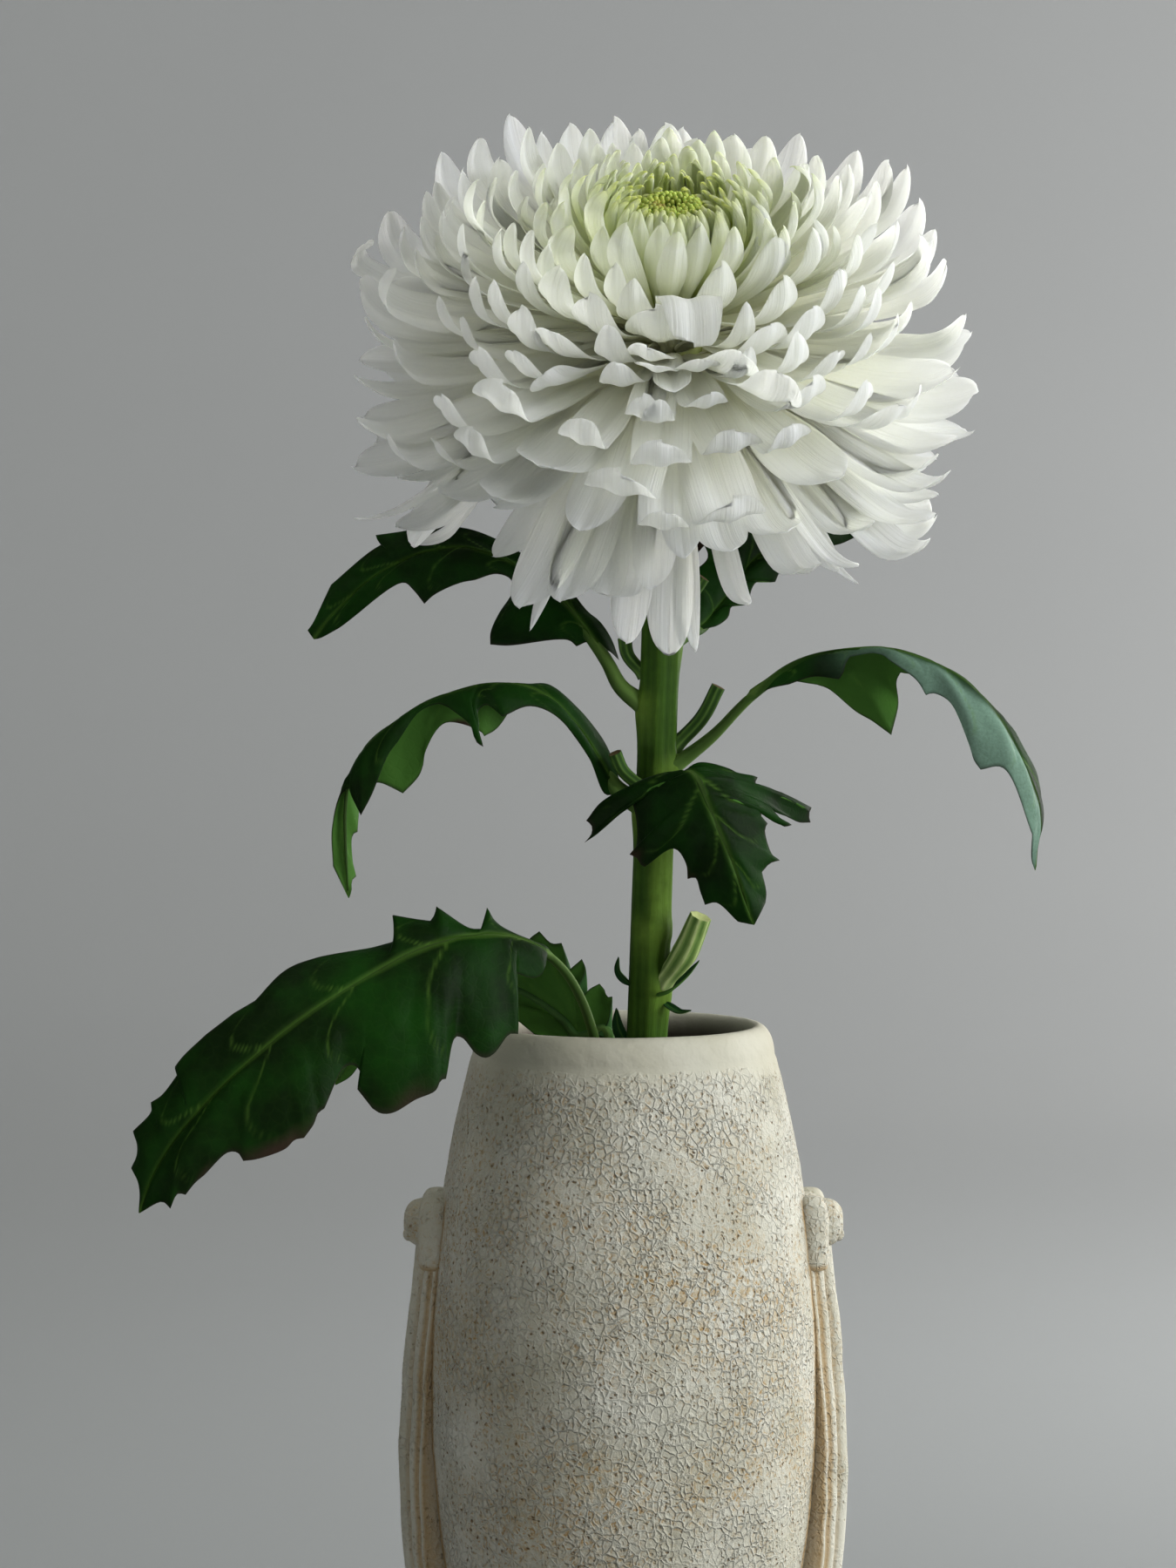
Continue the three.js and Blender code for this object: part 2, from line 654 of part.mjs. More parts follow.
addPiece(part, "vase", vaseSolid(), materials.stoneware);
addPiece(part, "stem", stemSolid(), materials.stem);
addPiece(bloom, "involucre", involucreSolid(), materials.bract);
addPiece(bloom, "disc_florets", discSolid(), materials.disc);
WHORLS.forEach((whorl, order) => {
  const number = String(order + 1).padStart(2, "0");
  addPiece(bloom, `ray_floret_whorl_${number}`, whorlSolid(whorl, order), materials.petal);
});
for (const [name, leaf] of Object.entries(LEAVES)) {
  addPiece(part, name, leafSolid(leaf), materials.leaf);
}
for (const [name, shoot] of Object.entries(SHOOTS)) {
  addPiece(part, name, spindleSolid(shoot, SHOOT_STATIONS, SHOOT_SIDES), materials.stem);
}
for (const [name, leaflet] of Object.entries(LEAFLETS)) {
  addPiece(part, name, spindleSolid(leaflet, LEAFLET_STATIONS, LEAFLET_SIDES), materials.leaf);
}

export default part;
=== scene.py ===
"""A cut white chrysanthemum in a stoneware vase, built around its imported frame.

The sizes in the classes are millimetres, and become metres when a mesh is made. The origin is the centre
of the vase's foot, +Z is up and the bloom nods to the front, -Y. Each class builds its own pieces and
dresses them.
"""

import logging
import math
from collections.abc import Callable, Sequence
from dataclasses import dataclass, field, fields
from enum import Enum
from functools import cache
from typing import Any

import bpy
import numpy as np
from mathutils import Euler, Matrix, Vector


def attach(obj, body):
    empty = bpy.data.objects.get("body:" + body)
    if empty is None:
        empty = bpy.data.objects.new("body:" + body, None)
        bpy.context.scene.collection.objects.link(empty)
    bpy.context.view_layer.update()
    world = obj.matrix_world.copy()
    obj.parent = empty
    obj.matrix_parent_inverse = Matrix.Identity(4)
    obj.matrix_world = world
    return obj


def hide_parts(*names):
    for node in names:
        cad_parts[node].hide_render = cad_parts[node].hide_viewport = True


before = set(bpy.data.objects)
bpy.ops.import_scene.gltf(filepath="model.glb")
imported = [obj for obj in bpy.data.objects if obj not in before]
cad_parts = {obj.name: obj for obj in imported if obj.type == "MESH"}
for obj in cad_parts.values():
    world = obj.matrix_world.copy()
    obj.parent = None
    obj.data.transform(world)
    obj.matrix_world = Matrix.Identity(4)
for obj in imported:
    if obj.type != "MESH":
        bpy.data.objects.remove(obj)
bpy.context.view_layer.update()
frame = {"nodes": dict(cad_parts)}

LOG = logging.getLogger("chrysanthemum")
METRE = 1e-3  # one millimetre in metres
TURN = 2.0 * np.pi  # a whole turn in radians
SPAN_STEPS = 24  # the steps in each span of a smooth curve
Array = np.ndarray
Marks = dict[str, Any]  # figures at a surface's points: arrays or single numbers, stretched to the surface
Colour = tuple[float, float, float]
Point = tuple[float, float, float]
Pairs = tuple[tuple[float, float], ...]
Rows = tuple[tuple[float, ...], ...]
RingRows = tuple[tuple[int, complex, complex, float, float, float], ...]


class Slot(Enum):
    """The material slots."""

    STONEWARE = "stoneware"
    STEM = "stem"
    SHOOT = "shoot"
    LEAF = "leaf"
    LEAFLET = "leaflet"
    BRACT = "bract"
    DISC = "disc"
    PETAL = "petal"


class Side(Enum):
    """The two sides of a piece, as a sign."""

    LEFT = -1
    RIGHT = 1


# ---------------------------------------------------------------- curves, noise and meshes


def smoothstep(low: float, high: float, value: Array) -> Array:
    """A smooth rise from 0 at low to 1 at high: three times the square less twice the cube of the share."""
    share = np.clip((value - low) / (high - low), 0.0, 1.0)
    return share * share * (3.0 - 2.0 * share)


def bell(value: Array, width: float) -> Array:
    """A smooth bump that is 1 at a value of 0 and falls off on both sides."""
    return np.exp(-((value / width) ** 2))


def circle(count: int) -> Array:
    """The angles of points set evenly round a circle."""
    return np.linspace(0.0, TURN, count, endpoint=False)


def xyz(x: Any, y: Any, z: Any) -> Array:
    """Points from their coordinates, which are stretched to one shape."""
    return np.stack(np.broadcast_arrays(x, y, z), -1)


def round_axis(out: Array, side: Array, height: Array, bearing: Array) -> Array:
    """Points from their distances out from Z and to the side, turned about it to a bearing in radians."""
    sin, cos = np.sin(bearing), np.cos(bearing)
    return xyz(out * cos - side * sin, out * sin + side * cos, height)


def turned(outline: Array, count: int) -> Array:
    """An outline, as rows of radius and height, turned about Z into rings of points."""
    angle = circle(count)
    return xyz(outline[:, :1] * np.cos(angle), outline[:, :1] * np.sin(angle), outline[:, 1:])


def resample(line: Array, shares: Array) -> Array:
    """The points of a polyline at given shares of its length."""
    steps = np.linalg.norm(np.diff(line, axis=0), axis=1)
    reach = np.concatenate([[0.0], np.cumsum(steps)])
    return np.stack([np.interp(shares * reach[-1], reach, column) for column in line.T], -1)


def spread_at(figures: Array, places: Array, shares: Array) -> Array:
    """Rows of figures given at some places, read at others."""
    return np.stack([np.interp(shares, places, column) for column in figures.T], -1)


def spline(points: Sequence[Sequence[float]], count: int) -> Array:
    """A smooth curve through points: centripetal cubics whose ends are mirrored, in equal steps of length.

    Args:
        points: the points to pass through.
        count: how many points to give.

    Returns:
        The curve's points, one a row.
    """
    p = np.asarray(points, float)
    p = np.vstack([2 * p[0] - p[1], p, 2 * p[-1] - p[-2]])
    root = np.sqrt(np.linalg.norm(np.diff(p, axis=0), axis=1))[:, None]
    a, b, c = root[:-2], root[1:-1], root[2:]
    x0, x1, x2, x3 = p[:-3], p[1:-2], p[2:-1], p[3:]
    start = ((x1 - x0) / a - (x2 - x0) / (a + b) + (x2 - x1) / b) * b
    end = ((x2 - x1) / b - (x3 - x1) / (b + c) + (x3 - x2) / c) * b
    u = np.linspace(0.0, 1.0, SPAN_STEPS + 1)[:-1][None, :, None]
    square = (3 * (x2 - x1) - 2 * start - end)[:, None] * u**2
    cube = (2 * (x1 - x2) + start + end)[:, None] * u**3
    curve = x1[:, None] + start[:, None] * u + square + cube
    dense = np.vstack([curve.reshape(-1, p.shape[1]), p[-2]])
    return resample(dense, np.linspace(0.0, 1.0, count))


def unit(vectors: Array) -> Array:
    """Vectors of length one."""
    return vectors / np.maximum(np.linalg.norm(vectors, axis=-1, keepdims=True), 1e-12)


def tangents(line: Array) -> Array:
    """The unit directions along a row of points."""
    return unit(np.gradient(line, axis=0))


def spokes(line: Array, angle: Array) -> Array:
    """Unit directions away from a line, as a ring at each of its points."""
    forward = tangents(line)
    first = unit(np.cross(np.array([0.0, -1.0, 0.0]), forward))
    second = np.cross(forward, first)
    return np.cos(angle)[..., None] * first[:, None] + np.sin(angle)[..., None] * second[:, None]


def noise(points: Array, size: float, seed: int) -> Array:
    """Smooth noise from -1 to 1: random figures at the corners of cubes, blended across each by smoothstep.

    Args:
        points: where to read it, in millimetres, with x, y and z on the last axis.
        size: the cubes' side.
        seed: which noise.

    Returns:
        The noise, with the points' shape less the last axis.
    """
    place = points / size
    cell = np.floor(place).astype(np.int64)
    share = smoothstep(0.0, 1.0, place - cell)
    total = np.zeros(points.shape[:-1])
    for corner in np.ndindex(2, 2, 2):
        x, y, z = np.moveaxis(cell + np.array(corner), -1, 0)
        # large primes and two rounds of shifts scramble the corner's place into 31 bits
        mixed = (x * 73856093) ^ (y * 19349663) ^ (z * 83492791) ^ (seed * 2654435761)
        mixed = ((mixed ^ (mixed >> 13)) * 1274126177) & 0x7FFFFFFF
        mixed = ((mixed ^ (mixed >> 11)) * 668265263) & 0x7FFFFFFF
        weight = np.prod(np.where(corner, share, 1.0 - share), axis=-1)
        total += weight * (mixed / 0x3FFFFFFF - 1.0)
    return total


def grid_quads(grid: Array, ahead: Array) -> Array:
    """The four corners of each cell between a grid's columns and the columns ahead of them."""
    return np.stack([grid[:-1], ahead[:-1], ahead[1:], grid[1:]], -1).reshape(-1, 4)


@cache
def sheet_plan(rows: int, columns: int) -> tuple[Array, Array, Array]:
    """Which points the faces of a thin closed sheet join. Its two sides share the points of the rim.

    Args:
        rows: the grid's rows.
        columns: the grid's columns.

    Returns:
        The faces of the upper side, those of the under side, and the pairs of points along the rim.
    """
    upper = np.arange(rows * columns).reshape(rows, columns)
    under = upper.copy()
    inner = (rows - 2) * (columns - 2)
    under[1:-1, 1:-1] = rows * columns + np.arange(inner).reshape(rows - 2, columns - 2)

    def quads(grid: Array) -> Array:
        """The four corners of each cell."""
        corners = [grid[:-1, :-1], grid[1:, :-1], grid[1:, 1:], grid[:-1, 1:]]
        return np.stack(corners, -1).reshape(-1, 4)

    loop = np.concatenate([upper[0, :-1], upper[:-1, -1], upper[-1, :0:-1], upper[:0:-1, 0]])
    return quads(upper), quads(under)[:, ::-1], np.stack([loop, np.roll(loop, -1)], -1)


@dataclass
class Shell:
    """Closed surfaces on their way into one mesh, in millimetres, with figures at their points and faces."""

    points: list[Array] = field(default_factory=list)
    faces: list[Array] = field(default_factory=list)
    under: list[Array] = field(default_factory=list)
    marks: dict[str, list[Array]] = field(default_factory=dict)
    sharp: list[Array] = field(default_factory=list)
    size: int = 0

    def add(
        self, points: Array, faces: Sequence[tuple[Array, float]], marks: Marks, rim: Any = None
    ) -> "Shell":
        """Adds one shape, or the same plan of faces many times over.

        Args:
            points: the points, with one shape on each row of the first axis.
            faces: pairs of faces counted within one shape, and 1 for an under side or 0.
            marks: figures for each point, with the points' shape less the last axis.
            rim: pairs of points whose edges are sharp, counted within one shape.

        Returns:
            The shell.
        """
        times, each = points.shape[:2]
        offsets = self.size + each * np.arange(times)[:, None, None]
        for plan, is_under in faces:
            placed = (plan[None] + offsets).reshape(-1, plan.shape[1])
            self.faces.append(placed)
            self.under.append(np.full(len(placed), is_under))
        if rim is not None:
            self.sharp.append((rim[None] + offsets).reshape(-1, 2))
        self.points.append(points.reshape(-1, 3))
        for name in sorted(set(self.marks) | set(marks)):
            before = self.marks.setdefault(name, [np.zeros(self.size)])
            before.append(np.broadcast_to(marks.get(name, 0.0), points.shape[:2]).ravel())
        self.size += times * each
        return self

    @staticmethod
    def _stretch(marks: Marks, shape: tuple[int, ...], step: int) -> Marks:
        """Figures stretched to a surface's shape, its columns in order (step 1) or turned round (-1)."""
        return {name: np.broadcast_to(mark, shape)[:, :, ::step] for name, mark in marks.items()}

    def sheets(self, middle: Array, thickness: Any, marks: Marks, step: int = 1) -> "Shell":
        """Adds thin closed sheets: each point of a middle surface moved half the thickness both ways.

        Args:
            middle: the middle surfaces, as sheets, rows, columns and x, y, z.
            thickness: the thickness at each point, which isn't used along the rim.
            marks: figures for each point.
            step: -1 turns the columns round, for sheets whose upper side would face down.

        Returns:
            The shell.
        """
        shape = middle.shape[:3]
        middle, spread = middle[:, :, ::step], self._stretch(marks, shape, step)
        normal = unit(np.cross(np.gradient(middle, axis=1), np.gradient(middle, axis=2)))
        half = np.broadcast_to(thickness, shape)[:, :, ::step] / 2.0
        half[:, [0, -1], :] = 0.0
        half[:, :, [0, -1]] = 0.0
        offset = normal * half[..., None]

        def both(figures: Array, lower: Array) -> Array:
            """The figures of the upper side, then those of the under side without its rim."""
            each = (shape[0], -1) + figures.shape[3:]
            return np.concatenate([figures.reshape(each), lower[:, 1:-1, 1:-1].reshape(each)], axis=1)

        upper, under, rim = sheet_plan(*shape[1:])
        doubled = {name: both(mark, mark) for name, mark in spread.items()}
        return self.add(both(middle + offset, middle - offset), [(upper, 0.0), (under, 1.0)], doubled, rim)

    def tube(self, rings: Array, marks: Marks, step: int = 1) -> "Shell":
        """Adds closed tubes: rings joined in order, with a point at the middle of each end.

        Args:
            rings: the tubes' rings, as tubes, rings, points of a ring and x, y, z, each counted anticlockwise
                about the way that the tube goes.
            marks: figures for each ring's points.
            step: -1 turns the rings round, for tubes whose points are counted clockwise.

        Returns:
            The shell.
        """
        times, rows, columns = rings.shape[:3]
        rings, spread = rings[:, :, ::step], self._stretch(marks, rings.shape[:3], step)
        grid = np.arange(rows * columns).reshape(rows, columns)
        ahead = np.roll(grid, -1, axis=1)
        poles = rows * columns + np.arange(2)
        foot = np.stack([np.full(columns, poles[0]), ahead[0], grid[0]], -1)
        head = np.stack([np.full(columns, poles[1]), grid[-1], ahead[-1]], -1)

        def capped(figures: Array) -> Array:
            """The rings' figures, then the mean of those at each end."""
            flat = figures.reshape((times, -1) + figures.shape[3:])
            return np.concatenate([flat, figures[:, [0, -1]].mean(axis=2)], axis=1)

        faces = [(grid_quads(grid, ahead), 0.0), (foot, 0.0), (head, 0.0)]
        return self.add(capped(rings), faces, {name: capped(mark) for name, mark in spread.items()})

    def mesh(self, name: str) -> bpy.types.Mesh:
        """Puts the surfaces into one mesh, in metres, with their figures as its attributes."""
        corners = np.concatenate([plan.ravel() for plan in self.faces])
        sides = np.concatenate([np.full(len(plan), plan.shape[1]) for plan in self.faces])
        points = np.concatenate(self.points) * METRE
        mesh = bpy.data.meshes.new(name)
        mesh.vertices.add(len(points))
        mesh.vertices.foreach_set("co", points.astype(np.float32).ravel())
        mesh.loops.add(len(corners))
        mesh.loops.foreach_set("vertex_index", corners.astype(np.int32))
        mesh.polygons.add(len(sides))
        mesh.polygons.foreach_set("loop_start", (np.cumsum(sides) - sides).astype(np.int32))
        mesh.polygons.foreach_set("use_smooth", np.ones(len(sides), bool))
        mesh.update(calc_edges=True)
        for mark, figures in self.marks.items():
            layer = mesh.attributes.new(mark, "FLOAT", "POINT")
            layer.data.foreach_set("value", np.concatenate(figures).astype(np.float32))
        under = np.concatenate(self.under)
        if under.any():
            mesh.attributes.new("under", "FLOAT", "FACE").data.foreach_set("value", under.astype(np.float32))
        if self.sharp:
            self._mark_sharp(mesh)
        mesh.validate()
        return mesh

    def _mark_sharp(self, mesh: bpy.types.Mesh) -> None:
        """Marks the rim's edges as sharp, so that each side of a sheet is shaded on its own."""
        ends = np.empty(len(mesh.edges) * 2, np.int32)
        mesh.edges.foreach_get("vertices", ends)

        def key(pairs: Array) -> Array:
            """One number for each pair of points, whichever comes first."""
            ordered = np.sort(pairs.reshape(-1, 2), axis=1).astype(np.int64)
            return ordered[:, 0] * self.size + ordered[:, 1]

        is_rim = np.isin(key(ends), key(np.concatenate(self.sharp)))
        mesh.attributes.new("sharp_edge", "BOOLEAN", "EDGE").data.foreach_set("value", is_rim)


def place(name: str, shell: Shell, material: bpy.types.Material, nodes: Sequence[str], slot: Slot) -> None:
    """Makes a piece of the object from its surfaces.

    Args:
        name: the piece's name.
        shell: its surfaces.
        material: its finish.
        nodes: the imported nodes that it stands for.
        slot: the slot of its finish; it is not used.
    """
    piece = bpy.data.objects.new(name, shell.mesh(name))
    bpy.context.scene.collection.objects.link(piece)
    piece.data.materials.append(material)
    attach(piece, "root")
    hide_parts(*nodes)
    LOG.info("%s: %d points, %d faces", name, len(piece.data.vertices), len(piece.data.polygons))


# ---------------------------------------------------------------- shader building


def _sign(operation: str, swapped: bool = False) -> Callable[["Wire", Any], "Wire"]:
    """The method of an arithmetic sign, which adds one Math node. Swapped, it takes the other value first."""

    def method(self: "Wire", other: Any) -> "Wire":
        """One Math node for the two values."""
        return self._math(operation, *((other, self) if swapped else (self, other)))

    return method


class Wire:
    """One output of a shader node. Arithmetic on wires and numbers adds Math nodes."""

    def __init__(self, socket: bpy.types.NodeSocket) -> None:
        """Holds the socket and the tree that it is in."""
        self.socket = socket
        self.tree = socket.id_data

    def _math(self, operation: str, *values: Any, clamp: bool = False) -> "Wire":
        """Adds one Math node.

        Args:
            operation: what it works out.
            values: wires or numbers for its inputs.
            clamp: whether it keeps its result from 0 to 1.

        Returns:
            Its result.
        """
        node = self.tree.nodes.new("ShaderNodeMath")
        node.operation, node.use_clamp = operation, clamp
        for index, value in enumerate(values):
            if isinstance(value, Wire):
                self.tree.links.new(value.socket, node.inputs[index])
            else:
                node.inputs[index].default_value = value
        return Wire(node.outputs[0])

    __add__ = __radd__ = _sign("ADD")
    __sub__, __rsub__ = _sign("SUBTRACT"), _sign("SUBTRACT", swapped=True)
    __mul__ = __rmul__ = _sign("MULTIPLY")
    __pow__ = _sign("POWER")

    def clip(self) -> "Wire":
        """The same, kept from 0 to 1."""
        return self._math("ADD", self, 0.0, clamp=True)

    def rise(self, low: float, high: float) -> "Wire":
        """A straight rise from 0 at low to 1 at high, kept from 0 to 1."""
        slope = 1.0 / (high - low)
        return self._math("MULTIPLY_ADD", self, slope, -low * slope, clamp=True)


class Bench:
    """Builds one material's nodes."""

    def __init__(self, name: str) -> None:
        """Starts an empty material."""
        self.material = bpy.data.materials.new(name)
        self.material.use_nodes = True
        self.tree = self.material.node_tree
        self.tree.nodes.clear()

    def node(self, kind: str, settings: dict[str, Any], inputs: dict[Any, Any], output: Any = 0) -> Wire:
        """Adds a node: its settings first, then its inputs.

        Args:
            kind: the node's type, without its first word.
            settings: its own settings.
            inputs: wires or values, by the name or number of the socket.
            output: which output to give, or None for a node that has none.

        Returns:
            That output, or the first input.
        """
        node = self.tree.nodes.new("ShaderNode" + kind)
        for name, value in settings.items():
            setattr(node, name, value)
        for name, value in inputs.items():
            if isinstance(value, Wire):
                self.tree.links.new(value.socket, node.inputs[name])
            elif isinstance(value, tuple) and len(node.inputs[name].default_value) == 4:
                node.inputs[name].default_value = (*value, 1.0)
            else:
                node.inputs[name].default_value = value
        return Wire(node.outputs[output]) if output is not None else Wire(node.inputs[0])

    def coordinates(self) -> Wire:
        """The place on the object, in metres."""
        return self.node("TexCoord", {}, {}, "Object")

    def mark(self, name: str) -> Wire:
        """A figure held at the mesh's points or faces."""
        return self.node("Attribute", {"attribute_name": name}, {}, "Fac")

    def mix(self, share: Any, first: Any, second: Any) -> Wire:
        """A colour between two colours."""
        return self.node("Mix", {"data_type": "RGBA"}, {0: share, 6: first, 7: second}, 2)

    def tint(self, colour: Any, factor: Any) -> Wire:
        """A colour made darker or lighter by a figure."""
        return self.node("VectorMath", {"operation": "SCALE"}, {0: colour, "Scale": factor})

    def noise(self, where: Wire, scale: float, detail: float = 3.0, rough: float = 0.55) -> Wire:
        """Noise from 0 to 1, with a scale in cells a metre."""
        inputs = {"Vector": where, "Scale": scale, "Detail": detail, "Roughness": rough}
        return self.node("TexNoise", {}, inputs)

    def cells(self, where: Wire, scale: float, feature: str = "F1", output: Any = 0) -> Wire:
        """A Voronoi pattern, with a scale in cells a metre."""
        return self.node("TexVoronoi", {"feature": feature}, {"Vector": where, "Scale": scale}, output)

    def bump(self, height: Wire, strength: float, distance: float) -> Wire:
        """The normal that a height gives."""
        return self.node("Bump", {}, {"Height": height, "Strength": strength, "Distance": distance})

    def finish(self, inputs: dict[str, Any], through: float = 0.0) -> bpy.types.Material:
        """Sets the surface shader's inputs and joins it to the output.

        Args:
            inputs: values or wires for the surface shader.
            through: the share of the light that a thin piece lets through.

        Returns:
            The material.
        """
        surface = self.node("BsdfPrincipled", {}, inputs)
        if through:
            glow = self.node("BsdfTranslucent", {},
                             {"Color": inputs["Base Color"], "Normal": inputs["Normal"]})
            surface = self.node("MixShader", {}, {0: through, 1: surface, 2: glow})
        self.node("OutputMaterial", {}, {"Surface": surface}, None)
        return self.material


# ---------------------------------------------------------------- finishes


@dataclass(frozen=True)
class Stoneware:
    """Rough cream stoneware: raised threads round small cells, pits, ochre stains, dark specks, and painted
    shade inside the vase.
    """

    cream: Colour = (0.39, 0.37, 0.29)
    pale: Colour = (0.56, 0.548, 0.485)
    ochre: Colour = (0.40, 0.28, 0.13)
    umber: Colour = (0.15, 0.085, 0.03)
    # painted shade: the near-black colour painted over the inside of the vase
    hollow: Colour = (0.085, 0.066, 0.052)
    rust: Colour = (0.33, 0.20, 0.065)
    cell: float = 1.9
    pit: float = 1.15

    def make(self) -> bpy.types.Material:
        """Builds the material."""
        bench = Bench("stoneware")
        where = bench.coordinates()
        stained, hollow = bench.mark("stained"), bench.mark("hollow")
        rough = (bench.mark("rough") + bench.noise(where, 110.0, 3.0) * 1.1 - 0.55).rise(0.2, 0.75)
        drift = bench.node("TexNoise", {}, {"Vector": where, "Scale": 420.0, "Detail": 3.0}, "Color")
        pushed = bench.node("VectorMath", {"operation": "MULTIPLY_ADD"},
                            {0: drift, 1: (0.0019,) * 3, 2: where})
        slanted = bench.node("VectorMath", {"operation": "MULTIPLY"}, {0: pushed, 1: (1.0, 1.0, 0.85)})
        patch = bench.noise(where, 42.0, 3.0)
        busy = bench.noise(where, 70.0, 2.0).rise(0.34, 0.6)
        edge = bench.cells(slanted, 1000.0 / self.cell, "DISTANCE_TO_EDGE")
        thread = (1.0 - edge.rise(0.0, 0.17)) ** 1.4 * (busy * 0.8 + 0.2) * rough
        crevice = edge.rise(0.08, 0.16) * (1.0 - edge.rise(0.2, 0.34))
        crevice = crevice * bench.noise(where, 800.0, 2.0).rise(0.52, 0.62)
        pits = bench.cells(pushed, 1000.0 / self.pit)
        lot = bench.cells(pushed, 1000.0 / self.pit, "F1", "Color")
        chosen = bench.node("SeparateColor", {}, {0: lot}, 0)
        pit = (1.0 - pits.rise(0.1, 0.4)) * chosen.rise(0.45, 0.6) * rough
        speck = (1.0 - pits.rise(0.12, 0.3)) * chosen.rise(0.82, 0.85) * rough
        grain = bench.noise(where, 1000.0, 5.0, 0.65)
        swell = bench.noise(where, 190.0, 3.0)
        height = thread * 0.6 + swell * 0.55 - pit * 0.75 + grain * (rough * 0.5 + 0.06)
        spread = bench.noise(where, 26.0, 4.0, 0.65)
        stain = spread.rise(0.44, 0.68) * bench.noise(where, 700.0, 3.0).rise(0.44, 0.64) * rough
        colour = bench.mix(patch.rise(0.3, 0.68) * (rough * 0.5 + 0.5), self.cream, self.pale)
        colour = bench.mix(stain * 0.78, colour, self.ochre)
        rusted = (crevice * (spread.rise(0.38, 0.6) * 0.8 + 0.15) * rough).clip()
        colour = bench.mix(rusted, colour, self.rust)
        colour = bench.mix((pit * 0.55).clip(), colour, self.ochre)
        colour = bench.mix((thread * 0.5).clip(), colour, self.pale)
        colour = bench.mix((speck * 0.85).clip(), colour, self.umber)
        colour = bench.mix((stained * (grain * 0.8 + 0.55)).clip(), colour, self.rust)
        # painted shade: the inside of the vase, from partway over the lip, is painted near black
        colour = bench.mix(hollow, colour, self.hollow)
        normal = bench.bump(height, 0.95, 0.0009)
        return bench.finish({
            "Base Color": colour,
            "Roughness": grain * 0.15 + 0.72,
            "Specular IOR Level": 0.35,
            "Normal": normal,
        })


@dataclass(frozen=True)
class PetalFinish:
    """Thin waxy petals, white with a cream base and fine lengthwise veins; the inner ones are lime green."""

    white: Colour = (0.96, 0.97, 0.95)
    cream: Colour = (0.955, 0.95, 0.76)
    lime: Colour = (0.66, 0.77, 0.09)
    shade: Colour = (0.92, 0.92, 0.87)

    def make(self) -> bpy.types.Material:
        """Builds the material."""
        bench = Bench("petal")
        along, across = bench.mark("along"), bench.mark("across")
        green, tone = bench.mark("green"), bench.mark("tone")
        base = 1.0 - along
        lengthwise = bench.node("CombineXYZ", {}, {0: across * 9.0, 1: along * 1.1, 2: tone * 31.0})
        vein = bench.noise(lengthwise, 1.0, 4.0, 0.6)
        colour = bench.mix((base.rise(0.05, 0.9) ** 1.1).clip(), self.white, self.cream)
        colour = bench.mix((vein.rise(0.45, 0.75) * 0.35).clip(), colour, self.shade)
        limed = (green * (base * 0.5 + 0.55) + along.rise(0.9, 1.0) * green.rise(0.05, 0.3) * 0.4).clip()
        colour = bench.mix(limed, colour, self.lime)
        colour = bench.tint(colour, tone * 0.05 + 0.97)
        normal = bench.bump(vein, 0.6, 0.0007)
        return bench.finish({
            "Base Color": colour,
            "Roughness": vein * 0.2 + 0.42,
            "Specular IOR Level": 0.35,
            "Subsurface Weight": 0.9,
            "Subsurface Radius": (1.0, 1.0, 0.85),
            "Subsurface Scale": 0.004,
            "Normal": normal,
        }, through=0.1)


@dataclass(frozen=True)
class DiscFinish:
    """The unopened florets in the middle: lime green, browner in the dimple."""

    body: Colour = (0.16, 0.25, 0.02)
    tip: Colour = (0.42, 0.52, 0.09)
    brown: Colour = (0.20, 0.13, 0.02)

    def make(self) -> bpy.types.Material:
        """Builds the material."""
        bench = Bench("disc_floret")
        along, tone, old = bench.mark("along"), bench.mark("tone"), bench.mark("old")
        speckle = bench.noise(bench.coordinates(), 1500.0, 2.0)
        colour = bench.mix(along.rise(0.4, 1.0), self.body, self.tip)
        colour = bench.mix(old, colour, self.brown)
        colour = bench.tint(colour, tone * 0.5 + speckle * 0.3 + 0.6)
        return bench.finish({
            "Base Color": colour,
            "Roughness": speckle * 0.2 + 0.4,
            "Specular IOR Level": 0.4,
            "Subsurface Weight": 0.2,
            "Subsurface Scale": 0.0012,
            "Normal": bench.bump(speckle, 0.3, 0.0003),
        })


@dataclass(frozen=True)
class StemFinish:
    """A ridged green stem: pale along its ridges, darker in its furrows, with fine lengthwise fibres."""

    name: str = "stem"
    furrow: Colour = (0.018, 0.046, 0.006)
    ridge: Colour = (0.040, 0.092, 0.009)
    pale: Colour = (0.15, 0.25, 0.035)
    pith: Colour = (0.42, 0.46, 0.20)

    def make(self) -> bpy.types.Material:
        """Builds the material."""
        bench = Bench(self.name)
        ridge, node, cut = bench.mark("ridge"), bench.mark("node"), bench.mark("cut")
        around, along = bench.mark("around"), bench.mark("along")
        lengthwise = bench.node("CombineXYZ", {}, {0: around * 60.0, 1: along * 60.0, 2: 0.0})
        fibre = bench.noise(lengthwise, 1.0, 4.0, 0.65)
        spots = bench.noise(bench.coordinates(), 380.0, 3.0)
        colour = bench.mix((ridge + fibre * 0.5 - 0.25).clip(), self.furrow, self.ridge)
        colour = bench.mix((ridge.rise(0.7, 1.0) * (fibre + 0.15) + node * 0.55).clip(), colour, self.pale)
        colour = bench.mix(cut, colour, self.pith)
        colour = bench.tint(colour, spots * 0.6 + 0.7)
        return bench.finish({
            "Base Color": colour,
            "Roughness": fibre * 0.25 + 0.42,
            "Specular IOR Level": 0.05,
            "Normal": bench.bump(fibre + spots * 0.4, 0.4, 0.0005),
        })


